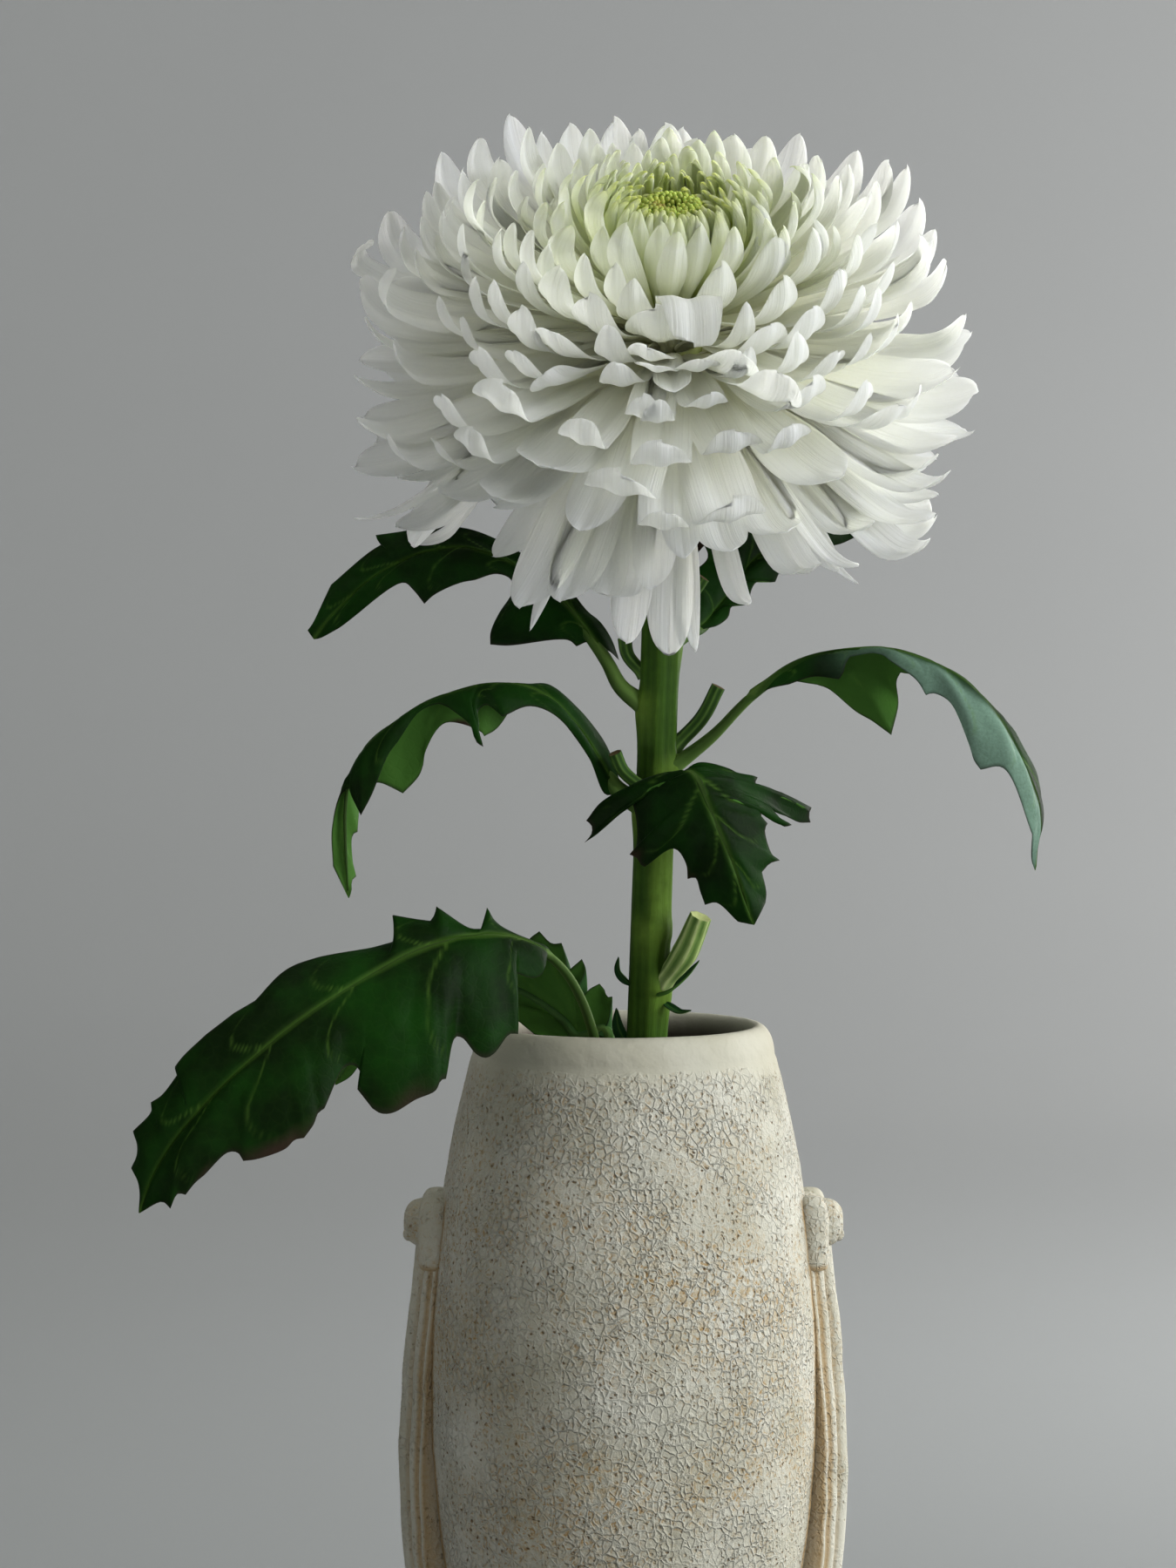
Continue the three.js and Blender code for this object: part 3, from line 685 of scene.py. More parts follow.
@dataclass(frozen=True)
class LeafFinish:
    """A leathery leaf: deep glossy green above, paler and duller below, with pale veins, dry edges and a
    painted bluish sheen.
    """

    name: str = "leaf"
    above: Colour = (0.003, 0.0115, 0.0015)
    fresh: Colour = (0.006, 0.040, 0.003)
    below: Colour = (0.050, 0.135, 0.022)
    vein: Colour = (0.080, 0.170, 0.025)
    edge: Colour = (0.018, 0.016, 0.012)
    dry: Colour = (0.030, 0.019, 0.013)
    # painted sheen: the bluish colour that stands in for the window's reflection
    wax: Colour = (0.15, 0.245, 0.19)
    petiole: Colour = (0.135, 0.235, 0.055)
    dull: float = 0.42
    gloss: float = 0.038

    def make(self) -> bpy.types.Material:
        """Builds the material."""
        bench = Bench(self.name)
        where = bench.coordinates()
        vein, margin, dry, under = (bench.mark(n) for n in ("vein", "margin", "dry", "under"))
        stalk = bench.mark("stalk")
        patch = bench.noise(where, 60.0, 3.0)
        net = bench.cells(where, 420.0, "DISTANCE_TO_EDGE")
        line = 1.0 - net.rise(0.0, 0.14)
        grain = bench.noise(where, 1500.0, 3.0)
        upper = bench.mix((patch.rise(0.42, 0.7) * 0.8).clip(), self.above, self.fresh)
        lower = bench.tint(self.below, patch * 0.6 + 0.7)
        # painted sheen: a speckled bluish patch mixed into the upper side, in place of a reflection
        sheen = bench.mark("wax") * (grain * 0.5 + patch * 0.7 + 0.25)
        upper = bench.mix(sheen.clip(), upper, self.wax)
        face = bench.mix(under, upper, lower)
        face = bench.mix((line * 0.015).clip(), face, self.vein)
        face = bench.mix((vein * 0.6).clip(), face, self.vein)
        face = bench.mix(stalk, face, self.petiole)
        face = bench.mix((margin * 0.8).clip(), face, self.edge)
        face = bench.mix((dry * (grain * 0.6 + 0.7)).clip(), face, self.dry)
        height = patch - line * 0.07 + grain * 0.14
        return bench.finish({
            "Base Color": face,
            "Roughness": (under * 0.15 + grain * 0.15 + stalk * 0.1 + self.dull).clip(),
            "Specular IOR Level": self.gloss,
            "Normal": bench.bump(height, 0.4, 0.0008),
        })


@dataclass(frozen=True)
class StudioFinish:
    """The plain matt floor and wall."""

    colour: Colour = (0.203, 0.213, 0.217)

    def make(self) -> bpy.types.Material:
        """Builds the material."""
        bench = Bench("studio")
        weave = bench.noise(bench.coordinates(), 3.0, 2.0)
        return bench.finish({"Base Color": bench.tint(self.colour, weave * 0.04 + 0.98), "Roughness": 0.9})


# ---------------------------------------------------------------- the vase


@dataclass
class Vase:
    """The stoneware vase: a barrel with a rounded lip, and on each side a reeded strap under a lug."""

    belly_radius: float = 45.2
    belly_height: float = 99.0
    taper: float = 0.001766
    wall: float = 5.4
    floor: float = 7.0
    shoulder: float = 174.0  # where the wall ends and the lip starts
    columns: int = 320
    steps: tuple[int, ...] = (9, 196, 18, 46, 7)  # points along the foot, outside, lip, inside and floor
    lip: Pairs = ((34.85, 175.0), (34.5, 177.6), (33.7, 179.8), (32.5, 181.3), (31.1, 181.9), (29.8, 181.3),
                  (28.9, 179.6), (28.7, 177.4), (29.1, 175.0))
    crest: Pairs = ((25.0, 36.6), (33.0, 43.2), (45.0, 49.0), (60.0, 51.3), (77.0, 52.0), (95.0, 51.5),
                    (112.0, 50.1), (133.0, 47.8))
    # how far off the middle a rib lies, its radius, and how far below the crest it is
    ribs: Rows = ((0.0, 3.0, 0.0), (5.6, 2.6, 2.7), (9.0, 1.35, 5.1))
    grooves: tuple[float, ...] = (3.1, 8.05, 10.3)
    strap_edge: float = 10.3
    strap_points: tuple[int, int] = (190, 83)
    # a lump's distance, across and height, its half sizes outwards, across and up, and how square it is
    # below and above
    lumps: Rows = (
        (43.2, -7.0, 134.4, 3.9, 3.5, 8.6, 9.0, 3.4),
        (43.2, 7.0, 134.4, 3.9, 3.5, 8.6, 9.0, 3.4),
        (46.3, 0.0, 135.9, 4.5, 4.9, 5.5, 2.4, 2.4),
        (41.6, 0.0, 134.8, 4.4, 8.0, 8.0, 5.0, 3.2),
        (49.6, -0.8, 133.2, 1.3, 1.6, 1.6, 2.0, 2.0),
    )

    def radius(self, height: Array) -> Array:
        """The wall's outer radius: it falls off with the square of the distance from the belly."""
        return self.belly_radius - self.taper * (height - self.belly_height) ** 2

    def _outline(self) -> tuple[Array, Array, Array]:
        """The turned outline, from the foot's middle, up the outside, over the lip and down to the floor.

        Returns:
            Its points as radius and height, how rough the clay is at each, and how far inside it lies, which
            sets the shade painted inside the vase.
        """
        on_foot, on_wall, on_lip, on_inside, on_floor = self.steps
        hub, corner = 2.0, 1.5  # the hole's radius in the middle, and how far the corners are cut back
        foot = np.stack([np.linspace(hub, self.radius(0.0) - corner, on_foot), np.zeros(on_foot)], -1)
        up = np.linspace(0.9, self.shoulder, on_wall)
        down = np.linspace(self.shoulder, self.floor + corner, on_inside)
        outside = np.stack([self.radius(up) - 0.6 * (1.0 - smoothstep(0.0, 2.5, up)), up], -1)
        inside = np.stack([self.radius(down) - self.wall, down], -1)
        across = np.linspace(inside[-1, 0] - corner, hub, on_floor)
        floor = np.stack([across, np.full(on_floor, self.floor)], -1)
        parts = [foot, outside, spline(self.lip, on_lip), inside, floor]
        line = np.concatenate(parts)
        is_out = np.repeat((0.3, 1.0, 0.0, 0.0, 0.0), [len(part) for part in parts])
        rough = is_out * (1.0 - smoothstep(165.0, 180.0, line[:, 1]))
        # the share of painted shade, rising from partway over the lip to the whole inside
        over_lip = smoothstep(9.0, 16.0, np.arange(float(len(line))) - on_foot - on_wall)
        return line, rough[:, None], over_lip[:, None]

    def body(self) -> Shell:
        """The barrel: the outline turned about the axis and moved in and out by a little smooth noise."""
        line, rough, hollow = self._outline()
        height = line[:, 1:]
        points = turned(line, self.columns)
        wave = 0.30 * noise(points, 34.0, 3) + 0.14 * noise(points, 11.0, 5)
        grit = 0.09 * noise(points, 3.4, 7) + 0.06 * noise(points, 1.9, 9)
        push = (0.35 + 0.65 * rough) * (height > 1.0) * wave + rough * grit
        out = unit(np.stack([np.gradient(line[:, 1]), -np.gradient(line[:, 0])], -1))
        points += push[..., None] * turned(out, self.columns)
        points[..., 2] = np.maximum(points[..., 2], 0.0)
        beside = np.abs(points[..., 1]) - (self.strap_edge - 0.2)
        along = smoothstep(20.0, 30.0, height) * (1.0 - smoothstep(140.0, 144.0, height))
        stained = bell(beside, 1.3) * along * (rough > 0)
        return Shell().tube(points[None], {"rough": rough, "hollow": hollow, "stained": stained})

    def strap(self, side: Side) -> Shell:
        """A strap: three half-round ribs with a thin bead on each side, carried up the wall and sunk in."""
        rows, columns = self.strap_points
        line = spline(self.crest, rows)
        height, middle = line[:, :1], line[:, 1:]
        edge = self.strap_edge
        across = np.linspace(-edge, edge, columns)[None, :]
        wobble = noise(xyz(height, 0.6 * across, 0.0), 6.0, 21 + side.value)
        off, radius, step = (np.array(column)[:, None, None] for column in zip(*self.ribs))
        room = radius**2 - (np.abs(across)[None] - off) ** 2
        arch = np.where(room > 0.0, np.sqrt(np.maximum(room, 0.0)) - radius, -20.0)
        outer = (middle[None] - step + arch).max(axis=0) + 0.24 * wobble
        wall = np.sqrt(self.radius(height) ** 2 - across**2)
        outer = np.maximum(outer, wall - 0.6 + 1.2 * smoothstep(edge, edge - 1.5, np.abs(across)))
        groove = np.clip(sum(bell(np.abs(across) - at, 0.32) for at in self.grooves), 0.0, 1.0)
        back = np.linspace(edge, -edge, 9)[None, 1:-1]
        inner = np.sqrt(self.radius(height) ** 2 - back**2) - 2.2
        rings = xyz(side.value * np.hstack([outer, inner]), np.hstack([across, back]), height)
        stained = 0.8 * np.hstack([groove, np.zeros_like(back)])
        return Shell().tube(rings[None], {"stained": stained, "rough": 0.45}, side.value)

    def lug(self, side: Side) -> Shell:
        """A lug: two upright rolls of clay cut off flat below, a knob between them and a pad behind.

        Args:
            side: which side of the vase.

        Returns:
            The lug's surfaces. Each lump's section shrinks towards its ends as a squared-off circle does.
        """
        sizes = np.array(self.lumps)[:, :, None, None]
        distance, across, height, out, wide, tall, below, above = np.moveaxis(sizes, 1, 0)
        climb = np.sin(np.linspace(-0.5, 0.5, 40) * np.pi * 0.995)[None, :, None]
        angle = circle(36)
        power = np.where(climb < 0.0, below, above)
        shrink = (1.0 - np.abs(climb) ** power) ** (1.0 / power)
        rings = xyz(side.value * (distance + out * shrink * np.cos(angle)),
                    across + wide * shrink * np.sin(angle), height + tall * climb)
        rings += (0.12 * noise(rings, 3.1, 31))[..., None] * unit(rings * np.array([1.0, 1.0, 0.0]))
        joint = smoothstep(41.5, 40.2, np.abs(rings[..., 0])) + 0.7 * smoothstep(127.8, 126.4, rings[..., 2])
        return Shell().tube(rings, {"stained": np.clip(joint, 0.0, 1.0), "rough": 0.5}, side.value)

    def build(self) -> None:
        """Makes the vase's pieces."""
        clay = Stoneware().make()
        place("vase_body", self.body(), clay, ["vase"], Slot.STONEWARE)
        for side in Side:
            name = side.name.lower()
            place(f"vase_strap_{name}", self.strap(side), clay, ["vase"], Slot.STONEWARE)
            place(f"vase_lug_{name}", self.lug(side), clay, ["vase"], Slot.STONEWARE)


# ---------------------------------------------------------------- stem, shoots and leaves


@dataclass(frozen=True)
class BloomFrame:
    """Where the bloom sits: its axis nods to the front and leans a little to the right."""

    centre: Point = (9.1, -26.0, 328.0)
    nod: float = 28.0
    lean: float = 1.5
    neck_height: float = -13.0

    @property
    def turn(self) -> Array:
        """The rotation from the bloom's own axes to the object's."""
        nod, lean = math.radians(self.nod), math.radians(self.lean)
        about_x = np.array([[1, 0, 0], [0, math.cos(nod), -math.sin(nod)], [0, math.sin(nod), math.cos(nod)]])
        about_y = np.array([[math.cos(lean), 0, math.sin(lean)], [0, 1, 0],
                            [-math.sin(lean), 0, math.cos(lean)]])
        return about_x @ about_y

    def to_world(self, points: Array) -> Array:
        """Points in the bloom's own axes, put in the object's."""
        return points @ self.turn.T + np.array(self.centre)

    @property
    def neck(self) -> Array:
        """Where the stem's line ends, under the receptacle."""
        return self.to_world(np.array([0.0, 0.0, self.neck_height]))


@dataclass
class Stem:
    """The ridged stem, with a swelling at each joint, and the receptacle that it ends in."""

    bloom: BloomFrame
    path: tuple[Point, ...] = (
        (-2.4, 9.5, 8.2), (1.5, -5.0, 86.0), (5.0, -22.4, 178.0), (6.3, -25.0, 219.0), (7.8, -24.5, 262.0),
        (8.6, -21.5, 292.0), (8.9, -19.6, 306.0),
    )
    foot_radius: float = 5.1
    neck_radius: float = 4.35
    sheath: tuple[float, ...] = (205.0, 243.0, 300.0, 42.0)  # from, to, bearing and half width in degrees
    joints: Pairs = ((206.5, 276.0), (234.0, 202.0), (242.5, 343.0), (256.5, 194.0), (271.0, 30.0),
                     (193.5, 325.0))  # heights, and bearings in degrees
    receptacle: Pairs = ((3.5, -14.5), (5.5, -12.5), (10.8, -8.0), (12.2, -5.4), (11.6, -2.0), (8.0, 10.0),
                         (4.2, 20.5), (2.4, 22.6), (0.6, 23.0))
    rows: int = 420
    columns: int = 72

    def _line(self, count: int) -> tuple[Array, Array, Array]:
        """The stem's middle line from its foot to the neck, with the share and the radius at each point."""
        share = np.linspace(0.0, 1.0, count)
        return spline([*self.path, self.bloom.neck], count), share, self._radius(share)

    def _radius(self, share: Array) -> Array:
        """The stem's radius at a share of its length."""
        return self.foot_radius + (self.neck_radius - self.foot_radius) * share

    def on_surface(self, height: float, bearing: float, sunk: float = 0.9) -> Array:
        """A point on the stem's skin, where something grows.

        Args:
            height: the point's height.
            bearing: the way it faces, in degrees from +X towards +Y.
            sunk: how far it lies under the skin.

        Returns:
            The point.
        """
        line, shares, _ = self._line(400)
        share = np.interp(height, line[:, 2], shares)
        angle = math.radians(bearing)
        reach = (self._radius(share) - sunk) * np.array([math.cos(angle), math.sin(angle), 0.0])
        return resample(line, np.array([share]))[0] + reach

    def _swelling(self, height: Array, angle: Array) -> tuple[Array, Array]:
        """How far the stem swells above and below its joints, and where a leaf's sheath clasps it."""
        swollen = 0.0
        for joint_height, bearing in self.joints:
            facing = np.clip(np.cos(angle - math.radians(bearing - 180.0)), 0.0, 1.0)
            above = height - joint_height
            swollen = swollen + bell(above, np.where(above > 0.0, 2.6, 6.5)) * facing**1.5
        low, high, bearing, half = self.sheath
        off = (np.degrees(angle) - (bearing - 180.0) + 180.0) % 360.0 - 180.0
        ends = smoothstep(low - 2.0, low, height) * (1.0 - smoothstep(high - 4.0, high + 4.0, height))
        return swollen, np.exp(-((off / half) ** 4)) * ends

    def shell(self) -> Shell:
        """The stem's surface: low ridges and finer ribs carried up the line, and the turned receptacle."""
        line, share, radius = self._line(self.rows)
        share, height, angle = share[:, None], line[:, 2:], circle(self.columns)[None, :]
        turn = angle + 0.5 * share
        ridge = 0.5 + 0.5 * np.cos(6.0 * turn + 0.7)
        ribs = np.cos(17.0 * turn + 0.4 * np.sin(height / 9.0))
        swollen, sheath = self._swelling(height, angle)
        radius = radius[:, None] * (0.955 + 0.07 * ridge**1.5) + 0.06 * ribs + swollen + 0.45 * sheath
        profile = spline(self.receptacle, 30)
        rings = self.bloom.to_world(turned(profile, self.columns))
        return Shell().tube((line[:, None] + radius[..., None] * spokes(line, angle))[None], {
            "ridge": 0.3 * ridge + 0.16 * ribs + 0.3,
            "node": np.clip(np.maximum(swollen, 0.85 * sheath), 0.0, 1.0),
            "around": angle / TURN,
            "along": share,
        }).tube(rings[None], {"cut": smoothstep(-9.0, -5.0, profile[:, 1:])})


@dataclass
class Shoot:
    """The stub of a side shoot that was cut off: a ridged spindle with a flat pale end."""

    name: str
    foot: tuple[float, float]
    path: tuple[Point, ...]
    radii: tuple[float, ...]
    closing: Pairs = ((0.0, 0.93), (0.15, 0.6), (0.25, 0.25))  # the last rings: how far back, and their size

    def shell(self, start: Array) -> Shell:
        """The stub's surface: a ribbed circle carried along its line, with its end closed flat."""
        rows, columns = 46, 36
        line = spline([start, *self.path], rows)
        angle, share = circle(columns)[None, :], np.linspace(0.0, 1.0, rows)[:, None]
        base = np.interp(share, np.linspace(0.0, 1.0, len(self.radii)), self.radii)
        ridge = 0.5 + 0.5 * np.cos(7.0 * angle + 1.5 * share)
        radius = base * (1.0 + 0.35 * bell(share, 0.12)) * (0.93 + 0.1 * ridge)
        back, size = np.array(self.closing).T[..., None]

        def longer(figures: Array) -> Array:
            """Figures with the last row given again for each closing ring."""
            return np.concatenate([figures, np.repeat(figures[-1:], len(back), axis=0)])

        centres, around = longer(line), longer(spokes(line, angle))
        centres[rows:] -= tangents(line)[-1] * back * base[-1]
        radius = np.concatenate([radius, radius[-1:] * size])
        return Shell().tube((centres[:, None] + radius[..., None] * around)[None], {
            "ridge": longer(ridge),
            "cut": np.repeat((0.0, 1.0), (rows, len(back)))[:, None],
            "around": angle / 6.28,
            "along": longer(share * 0.1),
            "node": longer(0.6 * bell(share, 0.2)),
        })


@dataclass
class Leaf:
    """A leaf: a stalk that runs on as the midrib, and a lobed blade of two halves.

    A half's edge is a start and then smooth arcs that meet at corners. Each arc gives the share of the
    midrib that its end belongs to, its lean, and the x and z of its points. The lean is how far back the
    edge lies behind the midrib, for each millimetre of its distance from it.
    """

    name: str
    foot: tuple[float, float]
    midrib: tuple[Point, ...]
    left: Rows
    right: Rows
    left_veins: tuple[float, ...]
    right_veins: tuple[float, ...]
    bow: tuple[float, float]
    seed: int
    girth: Pairs = ((0.0, 2.6), (0.05, 2.1), (0.12, 1.6), (0.25, 1.3), (0.4, 0.8), (1.0, 0.2))
    ruffle: float = 0.5
    dry: Rows = ()
    # how strongly a painted sheen covers the right half's upper side
    wax: float = 0.0
    midrib_points: int = 500
    cross_points: int = 20
    edge_step: float = 0.8
    thickness: float = 0.36
    rib_thickness: float = 0.3

    def _edge(self, edge: Rows, line: Array) -> tuple[Array, Array]:
        """One half's edge.

        Args:
            edge: the half's start and arcs.
            line: the midrib's points.

        Returns:
            The share of the midrib and the place of each point of the edge.
        """
        share, lean, *begin = edge[0]
        start, parts = np.array(begin), []
        for reach, slant, *flat in edge[1:]:
            knots = np.vstack([start, np.reshape(flat, (-1, 2))])
            length = np.linalg.norm(np.diff(knots, axis=0), axis=1).sum()
            count = max(4, round(length / self.edge_step))
            grade = np.linspace(0.0, 1.0, count)[:, None]
            middle = [share + (reach - share) * grade, lean + (slant - lean) * grade]
            parts.append(np.hstack([*middle, spline(knots, count)])[:-1])
            share, lean, start = reach, slant, knots[-1]
        rows = np.vstack([*parts, [[share, lean, *start]]])
        middle = self._at(line, rows[:, 0])
        away = np.linalg.norm(rows[:, 2:] - middle[:, [0, 2]], axis=1)
        return rows[:, 0], np.stack([rows[:, 2], middle[:, 1] + rows[:, 1] * away, rows[:, 3]], -1)

    @staticmethod
    def _at(figures: Array, share: Array) -> Array:
        """Figures given along the midrib, read at shares of it."""
        return spread_at(figures, np.arange(len(figures)), share * (len(figures) - 1))

    @staticmethod
    def _rise(sign: int, forward: Array, across: Array) -> Array:
        """The way that a half's upper side faces at each cross line, smoothed along the midrib."""
        rise = sign * np.cross(forward, across)
        beyond = 9  # how many cross lines on each side share in the mean
        window = np.hanning(2 * beyond + 1)
        window = window / window.sum()
        padded = np.concatenate([np.repeat(rise[:1], beyond, 0), rise, np.repeat(rise[-1:], beyond, 0)])
        return unit(np.stack([np.convolve(column, window, "valid") for column in padded.T], -1))

    def _half(self, sign: int, line: Array) -> tuple[Array, Marks, Array, Array]:
        """One half of the blade.

        Args:
            sign: 1 for the left half and -1 for the right, as the leaf points.
            line: the midrib's points.

        Returns:
            Its points, its marks, the shares of its cross lines and their directions. A cross line runs from
            the midrib to the edge, arched by a share of its length, with a cushion between each two veins.
        """
        edge, veins, bow = ((self.left, self.left_veins, self.bow[0]) if sign > 0
                            else (self.right, self.right_veins, self.bow[1]))
        share, rim = self._edge(edge, line)
        out, spots = np.linspace(0.0, 1.0, self.cross_points)[None, :], share[:, None]
        middle, forward = self._at(line, share), self._at(tangents(line), share)
        across = rim - middle
        full = np.linalg.norm(across, axis=1)[:, None]
        reach = full * out
        flat = middle[:, None] + across[:, None] * out[..., None]
        advance = np.maximum(np.gradient(share), 2e-4)[:, None]
        pace = np.linalg.norm(np.gradient(flat, axis=0), axis=-1) / advance
        curl = 0.05 * np.sin(np.pi * out) + 0.012 * noise(flat, 9.0, self.seed)
        vein = 0.0
        for spot in veins:
            vein = vein + bell((spots - curl - spot + 0.02) * pace, 0.42 - 0.2 * out) * (1.0 - out) ** 0.7
        knots = (0.0, *veins, 1.0)
        quilt = np.abs(np.sin(np.pi * np.interp(spots - curl, knots, np.arange(float(len(knots))))))
        lift = bow * full * np.sin(np.pi * out**0.8)
        lift = lift + 0.6 * quilt * np.sin(np.pi * out**0.7) * np.clip(full / 8.0, 0.0, 1.0) - 0.25 * vein
        lift = (lift + self.ruffle * noise(flat, 8.0, self.seed) * out**1.5
                * np.sin(np.pi * np.minimum(out, 0.9)))
        lift = lift + 0.16 * noise(flat, 2.8, self.seed + 40) * np.sin(np.pi * out)
        points = flat + self._rise(sign, forward, across)[:, None] * lift[..., None]
        brown = sum(strength * bell(spots - spot, wide) * smoothstep(0.84, 0.97, out)
                    for spot, wide, strength in self.dry if np.sign(wide) == sign)
        marks = {
            "vein": np.clip(vein * 0.75 + bell(reach, 0.55) * 0.8, 0.0, 1.0),
            "margin": smoothstep(1.0 - 0.5 / np.maximum(full, 1.0), 1.0, out) * np.clip(full / 4.0, 0.0, 1.0),
            "dry": np.clip(brown, 0.0, 1.0),
            # painted sheen on the right half, from about a third of the way along and away from the midrib
            "wax": self.wax * (sign < 0) * smoothstep(0.3, 0.6, spots) * smoothstep(0.05, 0.25, out),
        }
        return points, marks, share, unit(across)

    def shell(self, start: Array) -> Shell:
        """The leaf's surfaces: each half as a thin closed sheet, and the stalk and midrib as a tapering tube.

        Args:
            start: where the leaf leaves the stem.

        Returns:
            The surfaces.
        """
        line = spline([start, *self.midrib], self.midrib_points)
        shell, sides = Shell(), []
        for sign in (1, -1):
            points, marks, share, across = self._half(sign, line)
            near_rib = bell(np.linspace(0.0, 1.0, self.cross_points), 0.12)
            shell.sheets(points[None], self.thickness + self.rib_thickness * near_rib, marks, sign)
            sides.append(spread_at(across, share, np.linspace(0.0, 1.0, self.midrib_points)))
        self._add_stalk(shell, line, unit(sides[1] - sides[0]))
        return shell

    def _add_stalk(self, shell: Shell, line: Array, right: Array) -> None:
        """Adds the stalk, which runs on under the blade as a thinning rib: rounded, and hollowed on top.

        Args:
            shell: where to add it.
            line: the midrib's points.
            right: the way to the right at each.
        """
        reach = np.linspace(0.0, 0.985, 150)
        centre, forward = self._at(line, reach), self._at(tangents(line), reach)
        rise = unit(np.cross(self._at(right, reach), forward))
        side = np.cross(forward, rise)
        radius = np.interp(reach, *np.array(self.girth).T)[:, None]
        angle = circle(24)[None, :]
        furrow = 1.0 - 0.25 * np.clip(np.sin(angle), 0.0, 1.0) ** 4 + 0.04 * np.cos(6.0 * angle)
        reach, blade = reach[:, None], self.left[0][0]
        sunk = radius * 0.45 * smoothstep(blade - 0.05, blade + 0.05, reach)
        rings = centre[:, None] - side[:, None] * (radius * furrow * np.cos(angle))[..., None]
        rings = rings + rise[:, None] * (radius * furrow * np.sin(angle) * 0.8 - sunk)[..., None]
        # pale along the top and bottom of the stalk as its real pale rib, darker on its sides as painted
        # shade of the round stalk, and paler at its foot
        shade = 0.2 + 0.55 * np.abs(np.sin(angle)) ** 3 + 0.25 * smoothstep(0.05, 0.0, reach)
        fade = 1.0 - 0.75 * smoothstep(blade - 0.02, blade + 0.15, reach)
        shell.tube(rings[None], {"stalk": shade * fade})


@dataclass
class Leaflet:
    """A small leaflet or bract beside a shoot: a little cupped blade with a pointed tip."""

    name: str
    foot: tuple[float, float]
    path: tuple[Point, ...]
    width: float
    faces: Point
    cup: float = 50.0
    dry: float = 0.0
    thickness: float = 0.35

    def shell(self, start: Array) -> Shell:
        """The blade: an arc across, carried along its line, widest at two fifths and drawn out to a point."""
        rows, columns = 30, 15
        line = spline([start, *self.path], rows)
        forward = tangents(line)
        up = unit(np.cross(np.cross(forward, np.array(self.faces)), forward))
        side = np.cross(up, forward)
        share, across = np.linspace(0.0, 1.0, rows)[:, None], np.linspace(-1.0, 1.0, columns)[None, :]
        half = self.width * np.sin(np.pi * np.clip(share, 0.02, 0.985) ** 0.75) ** 0.8 + 0.25 * (1.0 - share)
        bend = math.radians(self.cup)
        x, z = half * np.sin(bend * across) / bend, half * (1.0 - np.cos(bend * across)) / bend
        points = line[:, None] + side[:, None] * x[..., None] + up[:, None] * z[..., None]
        margin = smoothstep(0.85, 1.0, np.abs(across))
        marks = {"vein": bell(across, 0.12) * 0.7, "dry": self.dry, "margin": margin}
        return Shell().sheets(points[None], self.thickness, marks)


# ---------------------------------------------------------------- the bloom


@dataclass(frozen=True)
class Whorl:
    """One whorl of ray florets. Angles are in degrees from the bloom's axis; a tip is distance and height."""

    count: int
    tip: tuple[float, float]
    leaves: float
    arrives: float
    half_width: float
    cup: float
    hook: float
    lip: float
    point: float
    green: float
    doubles: int = 0
    missing: tuple[int, ...] = ()


WHORLS = (
    Whorl(14, (11.5, 46.6), 12, -12, 1.9, 95, 35, 20, 0.52, 1.10, 12),
    Whorl(15, (19.0, 49.5), 24, -6, 2.8, 92, 32, 20, 0.54, 0.75, 15),
    Whorl(16, (27.5, 50.0), 29, 4, 4.1, 82, 26, 25, 0.52, 0.34, 16),
    Whorl(16, (39.0, 47.0), 36, 16, 5.5, 66, 24, 26, 0.49, 0.12, 15),
    Whorl(16, (51.0, 41.5), 44, 30, 6.6, 56, 22, 28, 0.46, 0.03, 14),
    Whorl(16, (60.5, 32.0), 52, 44, 7.4, 48, 22, 28, 0.44, 0.01, 13),
    Whorl(16, (67.0, 20.0), 61, 60, 8.0, 40, 20, 30, 0.42, 0.0, 12),
    Whorl(16, (69.5, 6.5), 70, 78, 8.3, 36, 16, 32, 0.41, 0.0, 11),
    Whorl(16, (68.5, -8.0), 80, 96, 8.0, 32, 12, 32, 0.41, 0.0, 9),
    Whorl(14, (63.5, -24.0), 90, 116, 7.4, 30, 6, 26, 0.41, 0.0, 7),
    Whorl(12, (55.0, -40.0), 96, 140, 7.0, 28, 0, 20, 0.42, 0.0, 5),
    Whorl(9, (40.0, -53.0), 124, 157, 6.8, 24, -6, 10, 0.42, 0.0, 0, (0, 1, 2, 3, 4)),
)

# Where whorls have only florets that stand out, in degrees of azimuth.
BARE = {4: (264.0, 286.0), 8: (238.0, 300.0), 9: (212.0, 330.0), 10: (200.0, 340.0), 11: (200.0, 350.0)}

